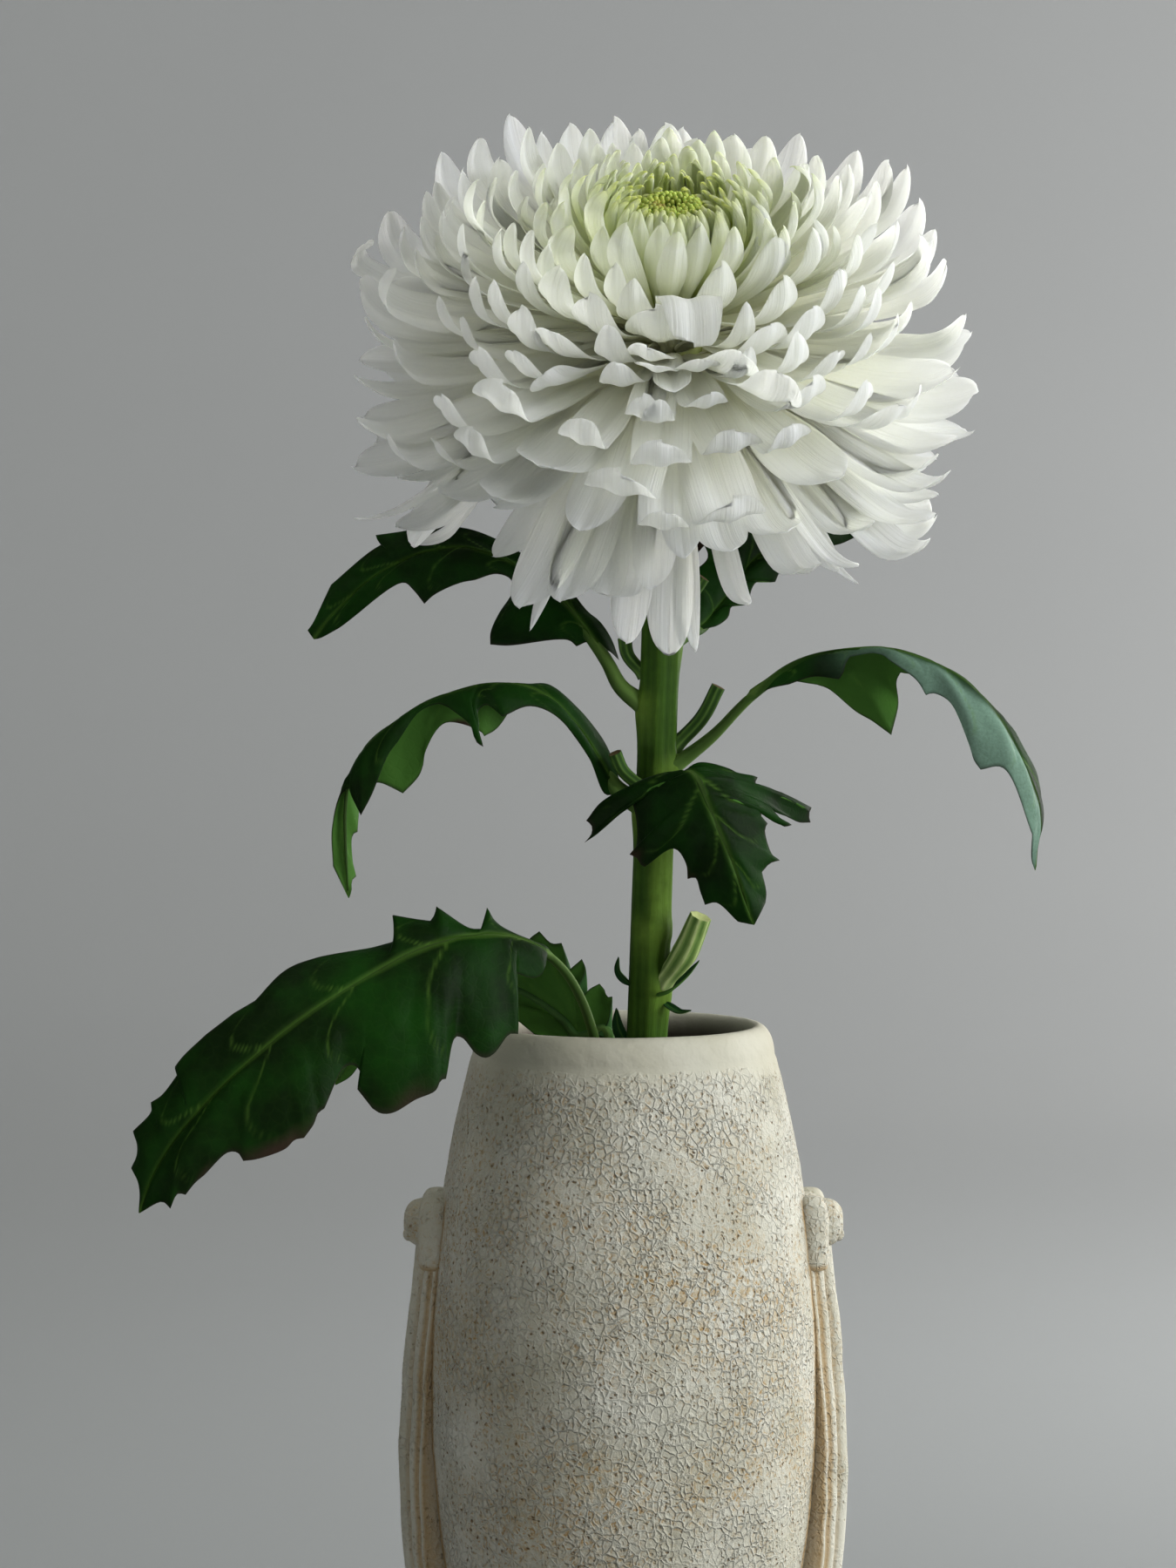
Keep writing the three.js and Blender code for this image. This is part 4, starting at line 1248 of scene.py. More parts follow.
# Florets that stand out, by whorl: azimuth in degrees, tip's distance and height, half width, cup, hook,
# lip, point, twist and notch. The last figures are left out where they are 0.
STANDOUT_FIGURES = 10
STANDOUTS: dict[int, Rows] = {
    1: (
        (26, 18.4, 49.2, 3.4, 85, 20, 50, 0.5), (180, 18.9, 50.4, 3, 85, 18, 40, 0.55),
        (222, 19.8, 52.6, 4, 84, 30, 60, 0.5), (322, 22, 50.1, 3.4, 85, 20, 40, 0.55),
    ),
    2: (
        (2, 25.8, 47.3, 3.8, 85, 20, 40, 0.5), (33, 27.1, 49.3, 4.8, 80, 10, 30, 0.6),
        (50, 24.7, 45.6, 3.6, 80, 16, 40, 0.55), (116, 24.1, 44.6, 3, 80, 16, 40, 0.55),
        (124, 25.1, 46.3, 3.2, 80, 14, 30, 0.55), (143, 25.8, 47.3, 3.4, 80, 14, 30, 0.55),
        (157, 24.5, 45.3, 3.8, 80, 16, 30, 0.55), (205, 30.5, 49.5, 4, 85, 20, 40, 0.55),
        (210, 27.5, 50, 3.8, 85, 20, 40, 0.55), (226, 32.8, 48.9, 5.4, 85, 24, 60, 0.5),
        (234, 26.2, 48, 4.4, 75, 20, 20, 0.66), (297, 27.7, 50.3, 3.7, 80, 16, 20, 0.55, 0, 0.105),
        (315, 27.5, 50, 3.6, 85, 20, 40, 0.55), (317, 31.9, 49.2, 4.6, 78, 20, 20, 0.6, 4),
        (350, 30.3, 54.4, 4.8, 80, 16, 40, 0.55),
    ),
    3: (
        (75, 34.2, 42, 4.2, 70, 16, 30, 0.55), (80, 36.1, 44, 5.6, 60, 16, 50, 0.45, 0, 0.14),
        (103, 35.5, 43.4, 3.6, 76, 12, 30, 0.55), (111, 35.8, 43.7, 3.2, 76, 14, 30, 0.55),
        (117, 36.1, 44, 3.4, 76, 12, 30, 0.55), (118, 38.7, 46.7, 4.6, 70, 12, 30, 0.6),
        (132, 37.7, 45.7, 5.2, 66, 14, 30, 0.6), (140, 41.6, 49.7, 3.8, 70, 16, 30, 0.6),
        (144, 35.5, 43.4, 3.8, 78, 18, 40, 0.55), (149, 30, 37.7, 3.6, 82, 20, 40, 0.55),
        (158, 37.1, 45, 3.8, 80, 18, 40, 0.55), (165, 33.2, 41, 3.6, 82, 22, 40, 0.55),
        (172, 39, 47, 3.6, 80, 20, 40, 0.55), (173, 39, 47, 4.4, 80, 20, 40, 0.55),
        (187, 42.9, 51, 5, 76, 20, 50, 0.5), (188, 41.4, 46.1, 4.1, 62, 17, 40, 0.55),
        (208, 39, 47, 4.2, 80, 24, 40, 0.58), (208, 42.1, 45.8, 4.3, 62, 17, 40, 0.58),
        (224, 42.5, 50.6, 3.6, 82, 24, 40, 0.55), (226, 38.4, 46.3, 3.8, 78, 24, 40, 0.55),
        (236, 43.6, 45.3, 6.4, 62, 20, 60, 0.5, -10), (241, 39.6, 47.7, 4, 74, 20, 30, 0.55, -6),
        (250, 37.7, 45.7, 3.8, 70, 14, 20, 0.55, -4), (258, 42.9, 45.6, 4.2, 60, 10, 20, 0.6, 25),
        (301, 44.6, 44.9, 6.2, 48, 14, 30, 0.5, 8), (326, 35.7, 48.1, 5, 80, 24, 40, 0.55),
        (332, 34.2, 48.5, 3.4, 85, 24, 60, 0.5), (337, 43.1, 45.5, 6.3, 56, 19, 30, 0.55, 6),
        (345, 36.1, 44, 3.8, 80, 20, 40, 0.6),
    ),
    4: (
        (24, 50.6, 41.2, 4.8, 56, 14, 40, 0.55), (36, 50.1, 40.9, 5, 55, 12, 30, 0.55),
        (62, 48.4, 39.7, 4.1, 55, 10, 20, 0.65), (66, 46.6, 38.5, 5.8, 47, 10, 30, 0.5, 0, 0.28),
        (86, 49.7, 40.6, 5.2, 51, 10, 20, 0.65), (92, 48.8, 40, 5, 51, 10, 20, 0.65),
        (98, 49.3, 40.3, 3.5, 55, 12, 50, 0.5, 0, 0.21), (104, 51.9, 42.1, 5.8, 51, 8, 20, 0.62),
        (116, 51.9, 42.1, 5.6, 51, 12, 30, 0.6), (124, 51.4, 41.8, 3.9, 55, 12, 30, 0.6),
        (141, 49.3, 40.3, 6.5, 39, 10, 40, 0.45, 0, 0.14), (142, 54.5, 43.9, 5.6, 51, 12, 50, 0.5),
        (155, 51, 41.5, 4.5, 59, 14, 40, 0.55), (168, 48.8, 40, 4.8, 62, 17, 70, 0.45),
        (180, 50.1, 40.9, 6, 51, 16, 40, 0.6), (195, 47.3, 43.6, 4.3, 59, 19, 40, 0.55),
        (197, 46.6, 38.5, 6, 50, 14, 50, 0.55, -4), (217, 52.9, 40.1, 4.8, 55, 20, 40, 0.55, -8),
        (222, 51.9, 40.9, 5.6, 55, 22, 30, 0.6, -10), (225, 45.9, 44.3, 4.5, 56, 19, 30, 0.55, -6),
        (233, 54.3, 38.8, 6.6, 46, 16, 35, 0.5, -8), (248, 48.8, 42.9, 6.4, 44, 4, 30, 0.45, -6),
        (255, 53.7, 39.4, 4.6, 60, 16, 30, 0.45, -6), (265, 49.4, 42.5, 7.1, 33, 6, 10, 0.5, -8),
        (274, 55.9, 37.3, 6.8, 22, -110, -40, 0.2), (288, 48.8, 42.9, 3.5, 55, 24, 30, 0.6, 10),
        (292, 53.7, 39.4, 7.2, 36, -6, 30, 0.42, 8), (298, 55.7, 37.5, 5, 44, 19, 40, 0.55, 10, 0.175),
        (304, 52.3, 40.6, 7.4, 42, 12, 30, 0.46, 10), (319, 47.1, 43.8, 7.5, 47, 19, 35, 0.5, 14),
        (321, 51.9, 40.9, 5.4, 51, 16, 30, 0.52, 8), (325, 53.7, 39.4, 6.6, 44, 14, 35, 0.5, 12),
    ),
    5: (
        (38, 68.9, 35.7, 5, 55, 14, 40, 0.5), (42, 67.8, 35.2, 5.4, 51, 12, 40, 0.5),
        (50, 67.8, 35.2, 5.8, 48, 12, 30, 0.55), (63, 67.8, 35.2, 5.6, 48, 10, 20, 0.62),
        (120, 72.5, 37.3, 5.4, 47, 8, 20, 0.6), (139, 68.4, 35.4, 6.7, 51, 14, 40, 0.6),
        (147, 62.6, 32.9, 4.8, 56, 14, 40, 0.55), (153, 61.5, 32.5, 4.8, 56, 17, 40, 0.55),
        (161, 58.4, 31.1, 5, 55, 17, 40, 0.55), (164, 54.2, 29.3, 4.3, 59, 19, 40, 0.55),
        (169, 60, 31.8, 5.4, 55, 17, 60, 0.5), (176, 56.3, 30.2, 5.8, 51, 19, 40, 0.6),
        (201, 54.2, 29.3, 6.7, 51, 26, 30, 0.62), (211, 52.6, 28.6, 6.8, 44, 18, 40, 0.5, -8),
        (228, 61.8, 30.2, 7.4, 38, 12, 35, 0.46, -8), (236, 60.5, 32, 6.6, 40, 6, 25, 0.48, -8),
        (242, 56.5, 36.8, 7.4, 36, -6, 30, 0.42, -6), (244, 62.1, 29.8, 6.6, 24, -30, 30, 0.36, 50),
        (258, 59.2, 33.7, 5, 42, 10, 20, 0.5, 14), (264, 62.8, 28.6, 3.9, 39, -40, 110, 0.45, -6),
        (264, 56.7, 36.6, 5.6, 38, -14, 15, 0.45, -6), (266, 59.2, 33.7, 5.6, 40, -30, 20, 0.5, -6),
        (267, 63.2, 27.9, 3.7, 39, -40, 110, 0.45, 4), (270, 62.4, 29.3, 4.3, 47, -40, 10, 0.6, 10),
        (276, 58.3, 34.7, 5.4, 38, -14, 15, 0.45, 6), (277, 62.5, 29.1, 5.6, 34, -24, 40, 0.5, 6),
        (284, 57.6, 35.6, 6.8, 30, 0, 20, 0.5, -32), (286, 56.8, 36.4, 3.7, 50, 14, 30, 0.6, 6),
        (290, 62.6, 32.9, 7.2, 26, -20, 70, 0.36, -36), (298, 62.4, 29.3, 7.4, 38, 8, 35, 0.45, 12),
        (310, 64.1, 26.5, 7.1, 44, 20, 40, 0.56, 16), (311, 53.7, 29, 7.6, 40, 10, 30, 0.45, 10),
        (323, 53.7, 29, 6.5, 42, 14, 30, 0.5, 14), (332, 55.3, 29.7, 8.6, 44, 16, 30, 0.46, 10),
        (343, 54.7, 29.5, 5.8, 47, 17, 40, 0.5, 10),
    ),
    6: (
        (28, 67.6, 20.1, 6, 47, 16, 40, 0.55), (33, 73.4, 21.4, 5.8, 47, 14, 40, 0.55, 0, 0.14),
        (42, 78.6, 22.6, 6.5, 44, 12, 50, 0.45, 0, 0.21), (147, 75.7, 22, 8.2, 37, 14, 60, 0.45),
        (159, 71.1, 20.9, 5, 51, 22, 130, 0.45), (175, 68.7, 20.4, 9.1, 34, 12, 40, 0.4, -8),
        (189, 67.6, 20.1, 3.9, 44, 22, 30, 0.7), (199, 63.5, 19.2, 6.7, 44, 16, 50, 0.5, -12),
        (225, 69.3, 20.5, 8, 36, 14, 50, 0.4, -10, 0.28), (232, 68.3, 15.6, 6.6, 38, 6, 95, 0.4, -10),
        (236, 64.3, 26, 8, 30, -16, 125, 0.36, -10, 0.175), (253, 65.8, 23, 5.6, 36, -16, 115, 0.38, -12),
        (268, 67, 20, 6.6, 34, -22, 115, 0.36, 6), (283, 58.9, 18.2, 7, 34, -18, 115, 0.36, 10),
        (295, 60, 18.4, 6.4, 38, -8, 100, 0.4, 14), (324, 65.8, 19.7, 6.5, 41, 19, 45, 0.55, 12),
        (359, 65.8, 19.7, 5.6, 39, 19, 40, 0.52, 10, 0.105),
    ),
    7: (
        (190, 70.1, 6.5, 4.8, 44, 22, 20, 0.75), (207, 75.5, 6.7, 5.8, 34, 14, 30, 0.6, -10),
        (214, 73.1, 6.6, 6.5, 34, 14, 60, 0.48, -12), (220, 65.9, 6.4, 7, 40, 10, 60, 0.42, -14),
        (237, 69.6, 1.7, 8, 32, -4, 25, 0.38, -12), (246, 69, 11.8, 9.4, 26, -10, 30, 0.33, -6, 0.1),
        (261, 68.8, 12.9, 8.2, 30, -8, 110, 0.36, -4), (269, 69.6, 4.8, 5.8, 38, -6, 95, 0.4, 0, 0.1),
        (281, 68.3, 6.5, 8, 30, -8, 110, 0.36, 8), (319, 79.1, 6.8, 5.4, 36, 16, 40, 0.6, 8),
        (323, 72.5, 6.6, 5.4, 36, 16, 40, 0.6, 8), (330, 71.9, 6.6, 5.4, 36, 16, 20, 0.62, 8),
    ),
    8: (
        (201, 73.2, -8.8, 7.4, 34, 6, 10, 0.4, -14), (209, 67.3, -7.8, 3.7, 34, 17, 20, 0.7),
        (215, 82.5, -10.4, 1.8, 40, 10, 20, 0.7, 0, 0.35), (220, 63.8, -7.2, 6.2, 40, 6, 30, 0.44, -16),
        (254, 69.4, -1.8, 6.4, 34, 0, 10, 0.5, -4), (273, 68.8, -6.5, 5, 34, 0, 10, 0.55, 8),
        (282, 65, -7.4, 6.4, 34, 0, 30, 0.44, 8), (295, 60.9, -6.7, 7.4, 36, -2, 50, 0.4, 6),
        (298, 67.4, -12.7, 5.6, 40, 10, 60, 0.5, 6), (302, 76.7, -9.4, 2.6, 40, 16, 30, 0.62, 6),
        (312, 66.2, -7.6, 6, 36, 14, 50, 0.5, 10), (317, 77.2, -9.5, 5.6, 36, 17, 60, 0.55, 8),
        (321, 72, -8.6, 5.2, 40, 10, 30, 0.5, 8, 0.28), (330, 68.4, -8.3, 5.4, 36, 16, 30, 0.6, 8),
    ),
    9: (
        (203, 64, -24.2, 5.6, 36, 10, 30, 0.5, -10), (229, 57.2, -21.1, 4.6, 38, 10, 20, 0.5, -12),
        (242, 66.1, -25.2, 6.8, 30, 2, 10, 0.5, -6), (249, 62.4, -23.5, 6.6, 30, -2, 20, 0.44, -4),
        (258, 59.3, -22.1, 7.2, 28, -4, 60, 0.4, 0, 0.1), (267, 56.7, -20.9, 5.2, 36, 0, 20, 0.5, 4),
        (287, 61.4, -23, 3, 47, 26, 40, 0.5, 10), (310, 58.8, -21.9, 4.6, 34, 2, 12, 0.5, 6, 0.21),
        (312, 63, -23.8, 1.8, 40, 10, 20, 0.7, 6, 0.35),
    ),
    10: (
        (237, 53.3, -38.5, 2.2, 40, 0, 0, 0.7, -4, 0.35), (261, 52, -37.4, 4.8, 34, -6, 10, 0.46, 0, 0.14),
    ),
    11: (
        (273, 37.2, -48.2, 5.4, 34, -4, 10, 0.42, 4, 2), (282, 37, -47.7, 2.4, 47, 12, 20, 0.6, 8),
    ),
}


FIRST_PULL, LAST_PULL = 0.38, 0.34  # how far a floret keeps its first and last direction, in its reach
LEAST = 0.06  # a floret's least half width in millimetres, and its least bend in radians
FLORET_THICKNESS = 0.5


@dataclass
class Florets:
    """A batch of ray florets, with one figure of each kind for every floret.

    Each floret's line lies in a plane through the bloom's axis. It leaves the receptacle at one angle and
    turns towards its tip on a cubic curve. Its outer half curls over by the hook, and its end by the lip.
    Its section is an arc that cups towards the bloom's axis, and its width swells from a narrow claw and
    rounds off at the tip, where the edges roll in with the lip. Angles are in degrees, but for the azimuth.
    """

    azimuth: Array
    base: Array  # distance from the axis and height, as a complex number
    tip: Array
    leaves: Array
    arrives: Array
    half_width: Array
    cup: Array
    hook: Array
    lip: Array
    twist: Array
    sway: Array
    point: Array
    notch: Array
    ruffle: Array
    green: Array
    tone: Array

    @classmethod
    def batch(cls, count: int, **figures: Any) -> "Florets":
        """A batch of florets from figures given for all at once or one by one. Those left out are 0."""
        given = {figure.name: 0.0 for figure in fields(cls)} | figures
        return cls(**{name: np.broadcast_to(figure, count) for name, figure in given.items()})

    def _lines(self, share: Array) -> tuple[Array, Array]:
        """The middle lines, as complex numbers of distance and height, and their angles from the axis.

        Args:
            share: shares along the lines, one a row.

        Returns:
            The points and the angles, as florets by rows.
        """
        u = share[None, :]
        reach = np.abs(self.tip - self.base)

        def aim(degrees: Array) -> Array:
            """The direction at an angle from the axis."""
            return np.sin(np.radians(degrees)) + 1j * np.cos(np.radians(degrees))

        first = (self.base + FIRST_PULL * reach * aim(self.leaves))[:, None]
        second = (self.tip - LAST_PULL * reach * aim(self.arrives))[:, None]
        start, end = self.base[:, None], self.tip[:, None]
        slope = (3 * (1 - u) ** 2 * (first - start) + 6 * u * (1 - u) * (second - first)
                 + 3 * u**2 * (end - second))
        curl = np.clip((u - 0.5) / 0.5, 0.0, 1.0) ** 2
        # a strong lip starts late, and is short
        bent = (0.80 + 0.07 * smoothstep(50.0, 100.0, self.lip))[:, None]
        lip = np.clip((u - bent) / (1.0 - bent), 0.0, 1.0)
        lip = lip * (1.0 + 0.4 * (1.0 - lip))
        slope = slope * np.exp(1j * np.radians(self.hook[:, None] * curl + self.lip[:, None] * lip))
        steps = 0.5 * (slope[:, 1:] + slope[:, :-1]) * np.diff(share)[None, :]
        line = np.concatenate([np.zeros((len(reach), 1)), np.cumsum(steps, axis=1)], axis=1)
        fit = (self.tip - self.base)[:, None] / line[:, -1:]
        return start + line * fit, 0.5 * np.pi - np.angle(slope * fit)

    def surfaces(self, rows: int, columns: int) -> tuple[Array, Array, Marks]:
        """The florets' middle surfaces in the bloom's own axes.

        Args:
            rows: how many points each has along it.
            columns: how many it has across.

        Returns:
            The points, the thickness and the figures for the finish.
        """
        share = 1.0 - (1.0 - np.linspace(0.0, 1.0, rows)) ** 1.5
        line, tilt = (figures[:, :, None] for figures in self._lines(share))
        s, t = np.linspace(-1.0, 1.0, columns)[None, None, :], share[None, :, None]
        width, cup, lip, notch, tone, ruffle, point, green, sway, turn, twist = (
            figures[:, None, None] for figures in (
                self.half_width, self.cup, self.lip, self.notch, self.tone, self.ruffle, self.point,
                self.green, self.sway, self.azimuth, self.twist,
            ))
        widest = 0.68 + 0.18 * smoothstep(45.0, 100.0, lip)
        end = np.clip((t - widest) / (1.0 - widest), 0.0, 1.0)
        swell = 0.30 + 0.70 * smoothstep(0.0, 0.70, t)
        half = np.maximum(width * swell * np.maximum(1.0 - end**2.5, 0.0) ** point, LEAST)
        opening = 1.3 - 0.7 * smoothstep(0.05, 0.75, t) + (0.35 - 0.006 * lip) * smoothstep(0.76, 1.0, t)
        bend = np.maximum(np.radians(cup) * opening, LEAST)
        x = half * np.sin(bend * s) / bend
        z = half * (1.0 - np.cos(bend * s)) / bend
        z = z - 0.05 * half * np.cos(TURN * s) * smoothstep(0.1, 0.4, t)
        z = z + ruffle * np.sin(TURN * (1.7 * t + tone * 3.0) + 1.4 * s) * s**2 * smoothstep(0.3, 0.8, t)
        back = notch * bell(s, 0.32) * smoothstep(0.8, 1.0, t)
        back = back + 0.3 * width * (tone - 0.5) * s * smoothstep(0.7, 1.0, t)
        back = back + 0.15 * notch * np.cos(9.0 * s + 6.0 * tone) * smoothstep(0.9, 1.0, t)
        roll = np.radians(twist) * t**1.5
        x, z = x * np.cos(roll) - z * np.sin(roll), x * np.sin(roll) + z * np.cos(roll)
        side = sway * t**2 + x
        distance = line.real - np.cos(tilt) * z - np.sin(tilt) * back
        height = line.imag + np.sin(tilt) * z - np.cos(tilt) * back
        thickness = FLORET_THICKNESS * (1.0 - 0.6 * s**2) * (1.0 - 0.45 * t)
        marks = {"along": t, "across": s * half / 6.0, "green": green, "tone": tone}
        return round_axis(distance, side, height, turn), thickness, marks


@dataclass
class Bloom:
    """The bloom: the disc of unopened florets, twelve whorls of ray florets and the cup of bracts below."""

    frame: BloomFrame
    receptacle: tuple[float, float, float, float] = (-6.0, 12.4, 22.0, 4.0)  # foot and top, height and radius
    disc_florets: int = 150
    disc_radius: float = 8.6
    disc_top: float = 43.2
    # shares up a bud, and how wide it is there
    bud: Pairs = ((0.0, 0.55), (0.35, 0.6), (0.6, 0.95), (0.82, 0.95), (0.95, 0.62), (1.0, 0.2))
    bud_length: float = 4.4
    core: Pairs = ((2.0, 23.6), (3.6, 24.5), (6.0, 30.0), (8.4, 36.4), (8.0, 38.4), (5.5, 38.6), (1.0, 37.4))
    golden: float = 137.508  # degrees from each bud to the next
    nest_rows: RingRows = (  # count, base, tip, the angles it leaves and arrives at, and half width
        (16, 8.8 + 31.0j, 6.8 + 44.6j, 22, -70, 1.35),
        (18, 9.2 + 28.0j, 9.0 + 46.0j, 26, -56, 1.6),
        (18, 9.6 + 25.0j, 12.2 + 47.6j, 30, -40, 1.9),
        (18, 9.9 + 23.0j, 15.0 + 48.6j, 30, -28, 2.1),
    )
    bract_rows: RingRows = (
        (11, 6.9 - 12.6j, 14.4 - 6.4j, 80, 30, 2.6),
        (11, 7.6 - 12.2j, 15.2 - 8.2j, 85, 50, 2.6),
        (10, 7.0 - 12.9j, 13.2 - 10.6j, 88, 75, 2.4),
    )
    seeds: tuple[int, int, int, int] = (410, 60, 90, 77)  # of the whorls, the nest, the bracts and the disc
    inner_whorls: int = 2  # they have the inner grid of points
    inner_grid: tuple[int, int] = (20, 9)
    outer_grid: tuple[int, int] = (28, 13)
    bract_grid: tuple[int, int] = (12, 7)
    clearance: float = 0.42  # how near an even floret comes to one that stands out, as a share of its pitch

    def _base(self, order: int) -> complex:
        """Where the florets of a whorl leave the receptacle, as distance and height in one complex number."""
        foot, foot_radius, top, top_radius = self.receptacle
        height = top - (order + 0.5) * (top - foot) / len(WHORLS)
        share = (height - foot) / (top - foot)
        return foot_radius + (top_radius - foot_radius) * share + 0.3 + 1j * height

    def _regular(self, order: int, draw: np.random.Generator) -> Florets:
        """One whorl's even florets, each moved, widened, curled and twisted a little at random."""
        whorl = WHORLS[order]
        pitch = TURN / whorl.count
        index = np.array([i for i in range(whorl.count) if i not in whorl.missing])
        between = draw.choice(whorl.count, whorl.doubles, replace=False)
        azimuth = np.concatenate([index, between + 0.5]) + (order % 2) / 2.0
        count = len(azimuth)
        second = np.arange(count) >= len(index)
        spread = draw.uniform(-1.0, 1.0, (9, count))
        loose = min(1.0, 0.35 + order / 8.0)
        tip, upper = complex(*whorl.tip), complex(*WHORLS[max(order - 1, 0)].tip)
        return Florets.batch(
            count,
            azimuth=(azimuth + spread[0] * 0.16) * pitch,
            base=self._base(order),
            tip=tip + second * (upper - tip) * 0.5 + loose * (1.6 * spread[1] + 1.4j * spread[2] - 0.6),
            leaves=whorl.leaves + 4.0 * spread[3],
            arrives=whorl.arrives + 9.0 * loose * spread[4],
            half_width=whorl.half_width * (1.0 + 0.14 * spread[5]),
            cup=whorl.cup * (1.0 + 0.25 * spread[6]),
            hook=whorl.hook + 14.0 * loose * spread[7],
            lip=whorl.lip * draw.uniform(0.0, 1.0, count) ** 2 * 3.0,
            twist=20.0 * loose * spread[8],
            sway=draw.uniform(-1.0, 1.0, count) * 2.6 * loose,
            point=whorl.point * draw.uniform(0.85, 1.2, count),
            notch=draw.uniform(0.0, 1.0, count) * 1.1 * loose,
            ruffle=draw.uniform(0.0, 1.0, count) * 0.5 * loose,
            green=whorl.green * draw.uniform(0.7, 1.1, count),
            tone=draw.uniform(0.0, 1.0, count),
        )

    def florets(self, order: int) -> Florets:
        """One whorl's florets: the even ones, and in place of those near them the ones that stand out.

        Args:
            order: the whorl, from 0 in the middle.

        Returns:
            The florets.
        """
        whorl, draw = WHORLS[order], np.random.default_rng(self.seeds[0] + order)
        regular, rows = self._regular(order, draw), STANDOUTS.get(order, ())
        if not rows:
            return regular
        table = np.array([(*row, *[0.0] * (STANDOUT_FIGURES - len(row))) for row in rows]).T
        azimuth, distance, height, half_width, cup, hook, lip, point, twist, notch = table
        azimuth = np.radians(azimuth)
        gap = np.abs(np.angle(np.exp(1j * (regular.azimuth[:, None] - azimuth[None, :])))).min(axis=1)
        low, high = np.radians(BARE.get(order, (0.0, 0.0)))
        around = regular.azimuth % TURN
        kept = (gap > self.clearance * TURN / whorl.count) & ~((around > low) & (around < high))
        placed = Florets.batch(
            len(rows), azimuth=azimuth, base=self._base(order), tip=distance + 1j * height,
            leaves=whorl.leaves, arrives=whorl.arrives, half_width=half_width, cup=cup, hook=hook, lip=lip,
            twist=twist, point=point, notch=notch, ruffle=0.25, green=whorl.green,
            tone=draw.uniform(0.0, 1.0, len(rows)),
        )
        pairs = zip(vars(regular).items(), vars(placed).values())
        return Florets(**{name: np.concatenate([even[kept], own]) for (name, even), own in pairs})

    def whorl(self, order: int) -> Shell:
        """One whorl's surfaces. The first whorl's come with the small florets that arch in over the disc."""
        grid = self.inner_grid if order < self.inner_whorls else self.outer_grid
        shell = Shell()
        for batch in [self.florets(order), *(self.nest() if order == 0 else [])]:
            middle, thickness, marks = batch.surfaces(*grid)
            shell.sheets(self.frame.to_world(middle), thickness, marks)
        return shell

    def nest(self) -> list[Florets]:
        """Four rows of small lime florets between the disc and the first whorl, bent in over the disc."""
        rows = []
        for row, (count, base, tip, leaves, arrives, half) in enumerate(self.nest_rows):
            draw = np.random.default_rng(self.seeds[1] + row)
            spread = draw.uniform(-1.0, 1.0, (7, count))
            rows.append(Florets.batch(
                count, azimuth=(np.arange(count) + row / 2.0 + 0.25 * spread[0]) * TURN / count, base=base,
                tip=tip + 0.9 * spread[1] + 0.9j * spread[2], leaves=leaves,
                arrives=arrives + 12.0 * spread[3], half_width=half * (1.0 + 0.15 * spread[4]), cup=110.0,
                hook=20.0, lip=10.0, twist=14.0 * spread[5], sway=0.8 * spread[6], point=0.42,
                green=1.3 - 0.17 * row + 0.1 * spread[0], tone=draw.uniform(0.0, 1.0, count),
            ))
        return rows

    def disc(self) -> Shell:
        """The disc: small club-shaped buds on a dimpled dome, set out on a golden-angle spiral."""
        count, draw = self.disc_florets, np.random.default_rng(self.seeds[3])

        def deep(figures: Array) -> Array:
            """One figure a bud, ready to be stretched over its rings."""
            return figures[:, None, None]

        share = np.sqrt((np.arange(count) + 0.5) / count)
        reach, way = self.disc_radius * share, (np.arange(count) + 0.5) * math.radians(self.golden)
        top = self.disc_top + 1.9 * np.sin(np.pi * share**1.3) - 2.0 * share**4
        size = deep(0.56 + 0.36 * share + draw.uniform(-0.06, 0.06, count))
        lean = deep(np.radians(-26.0 + 22.0 * share + draw.uniform(-9.0, 9.0, count)))
        along, wide = (column[None, :, None] for column in np.array(self.bud).T)
        angle = circle(7)
        up = (along - 1.0) * self.bud_length
        out, side = wide * size * np.cos(angle), wide * size * np.sin(angle)
        distance = deep(reach) + out * np.cos(lean) + up * np.sin(lean)
        height = deep(top) - out * np.sin(lean) + up * np.cos(lean)
        points = round_axis(distance, side, height, deep(way))
        hole = np.hypot(reach * np.cos(way) + 2.4, reach * np.sin(way) + 0.6)
        tone = deep(draw.uniform(0.0, 1.0, count))
        # browner round a spot near the middle of the disc, where it dips
        marks = {"along": along, "tone": tone, "old": 0.8 * deep(bell(hole, 2.2))}
        core = self.frame.to_world(turned(spline(self.core, 20), 36))
        return Shell().tube(self.frame.to_world(points), marks).tube(core[None], {})

    def bracts(self) -> Shell:
        """The cup of bracts: three rows of pointed, overlapping scales that bend out from the neck."""
        shell = Shell()
        for row, (count, base, tip, leaves, arrives, half) in enumerate(self.bract_rows):
            draw = np.random.default_rng(self.seeds[2] + row)
            batch = Florets.batch(
                count, azimuth=(np.arange(count) + row / 2.0) * TURN / count, base=base, tip=tip,
                leaves=leaves, arrives=arrives, half_width=half, cup=34.0,
                hook=8.0 * draw.uniform(-1.0, 1.0, count), twist=6.0 * draw.uniform(-1.0, 1.0, count),
                sway=0.4 * draw.uniform(-1.0, 1.0, count), point=0.9, ruffle=0.1,
                tone=draw.uniform(0.0, 1.0, count),
            )
            middle, thickness, marks = batch.surfaces(*self.bract_grid)
            margin = smoothstep(0.8, 1.0, marks["along"])
            shell.sheets(self.frame.to_world(middle), thickness * 0.8, {"margin": margin})
        return shell

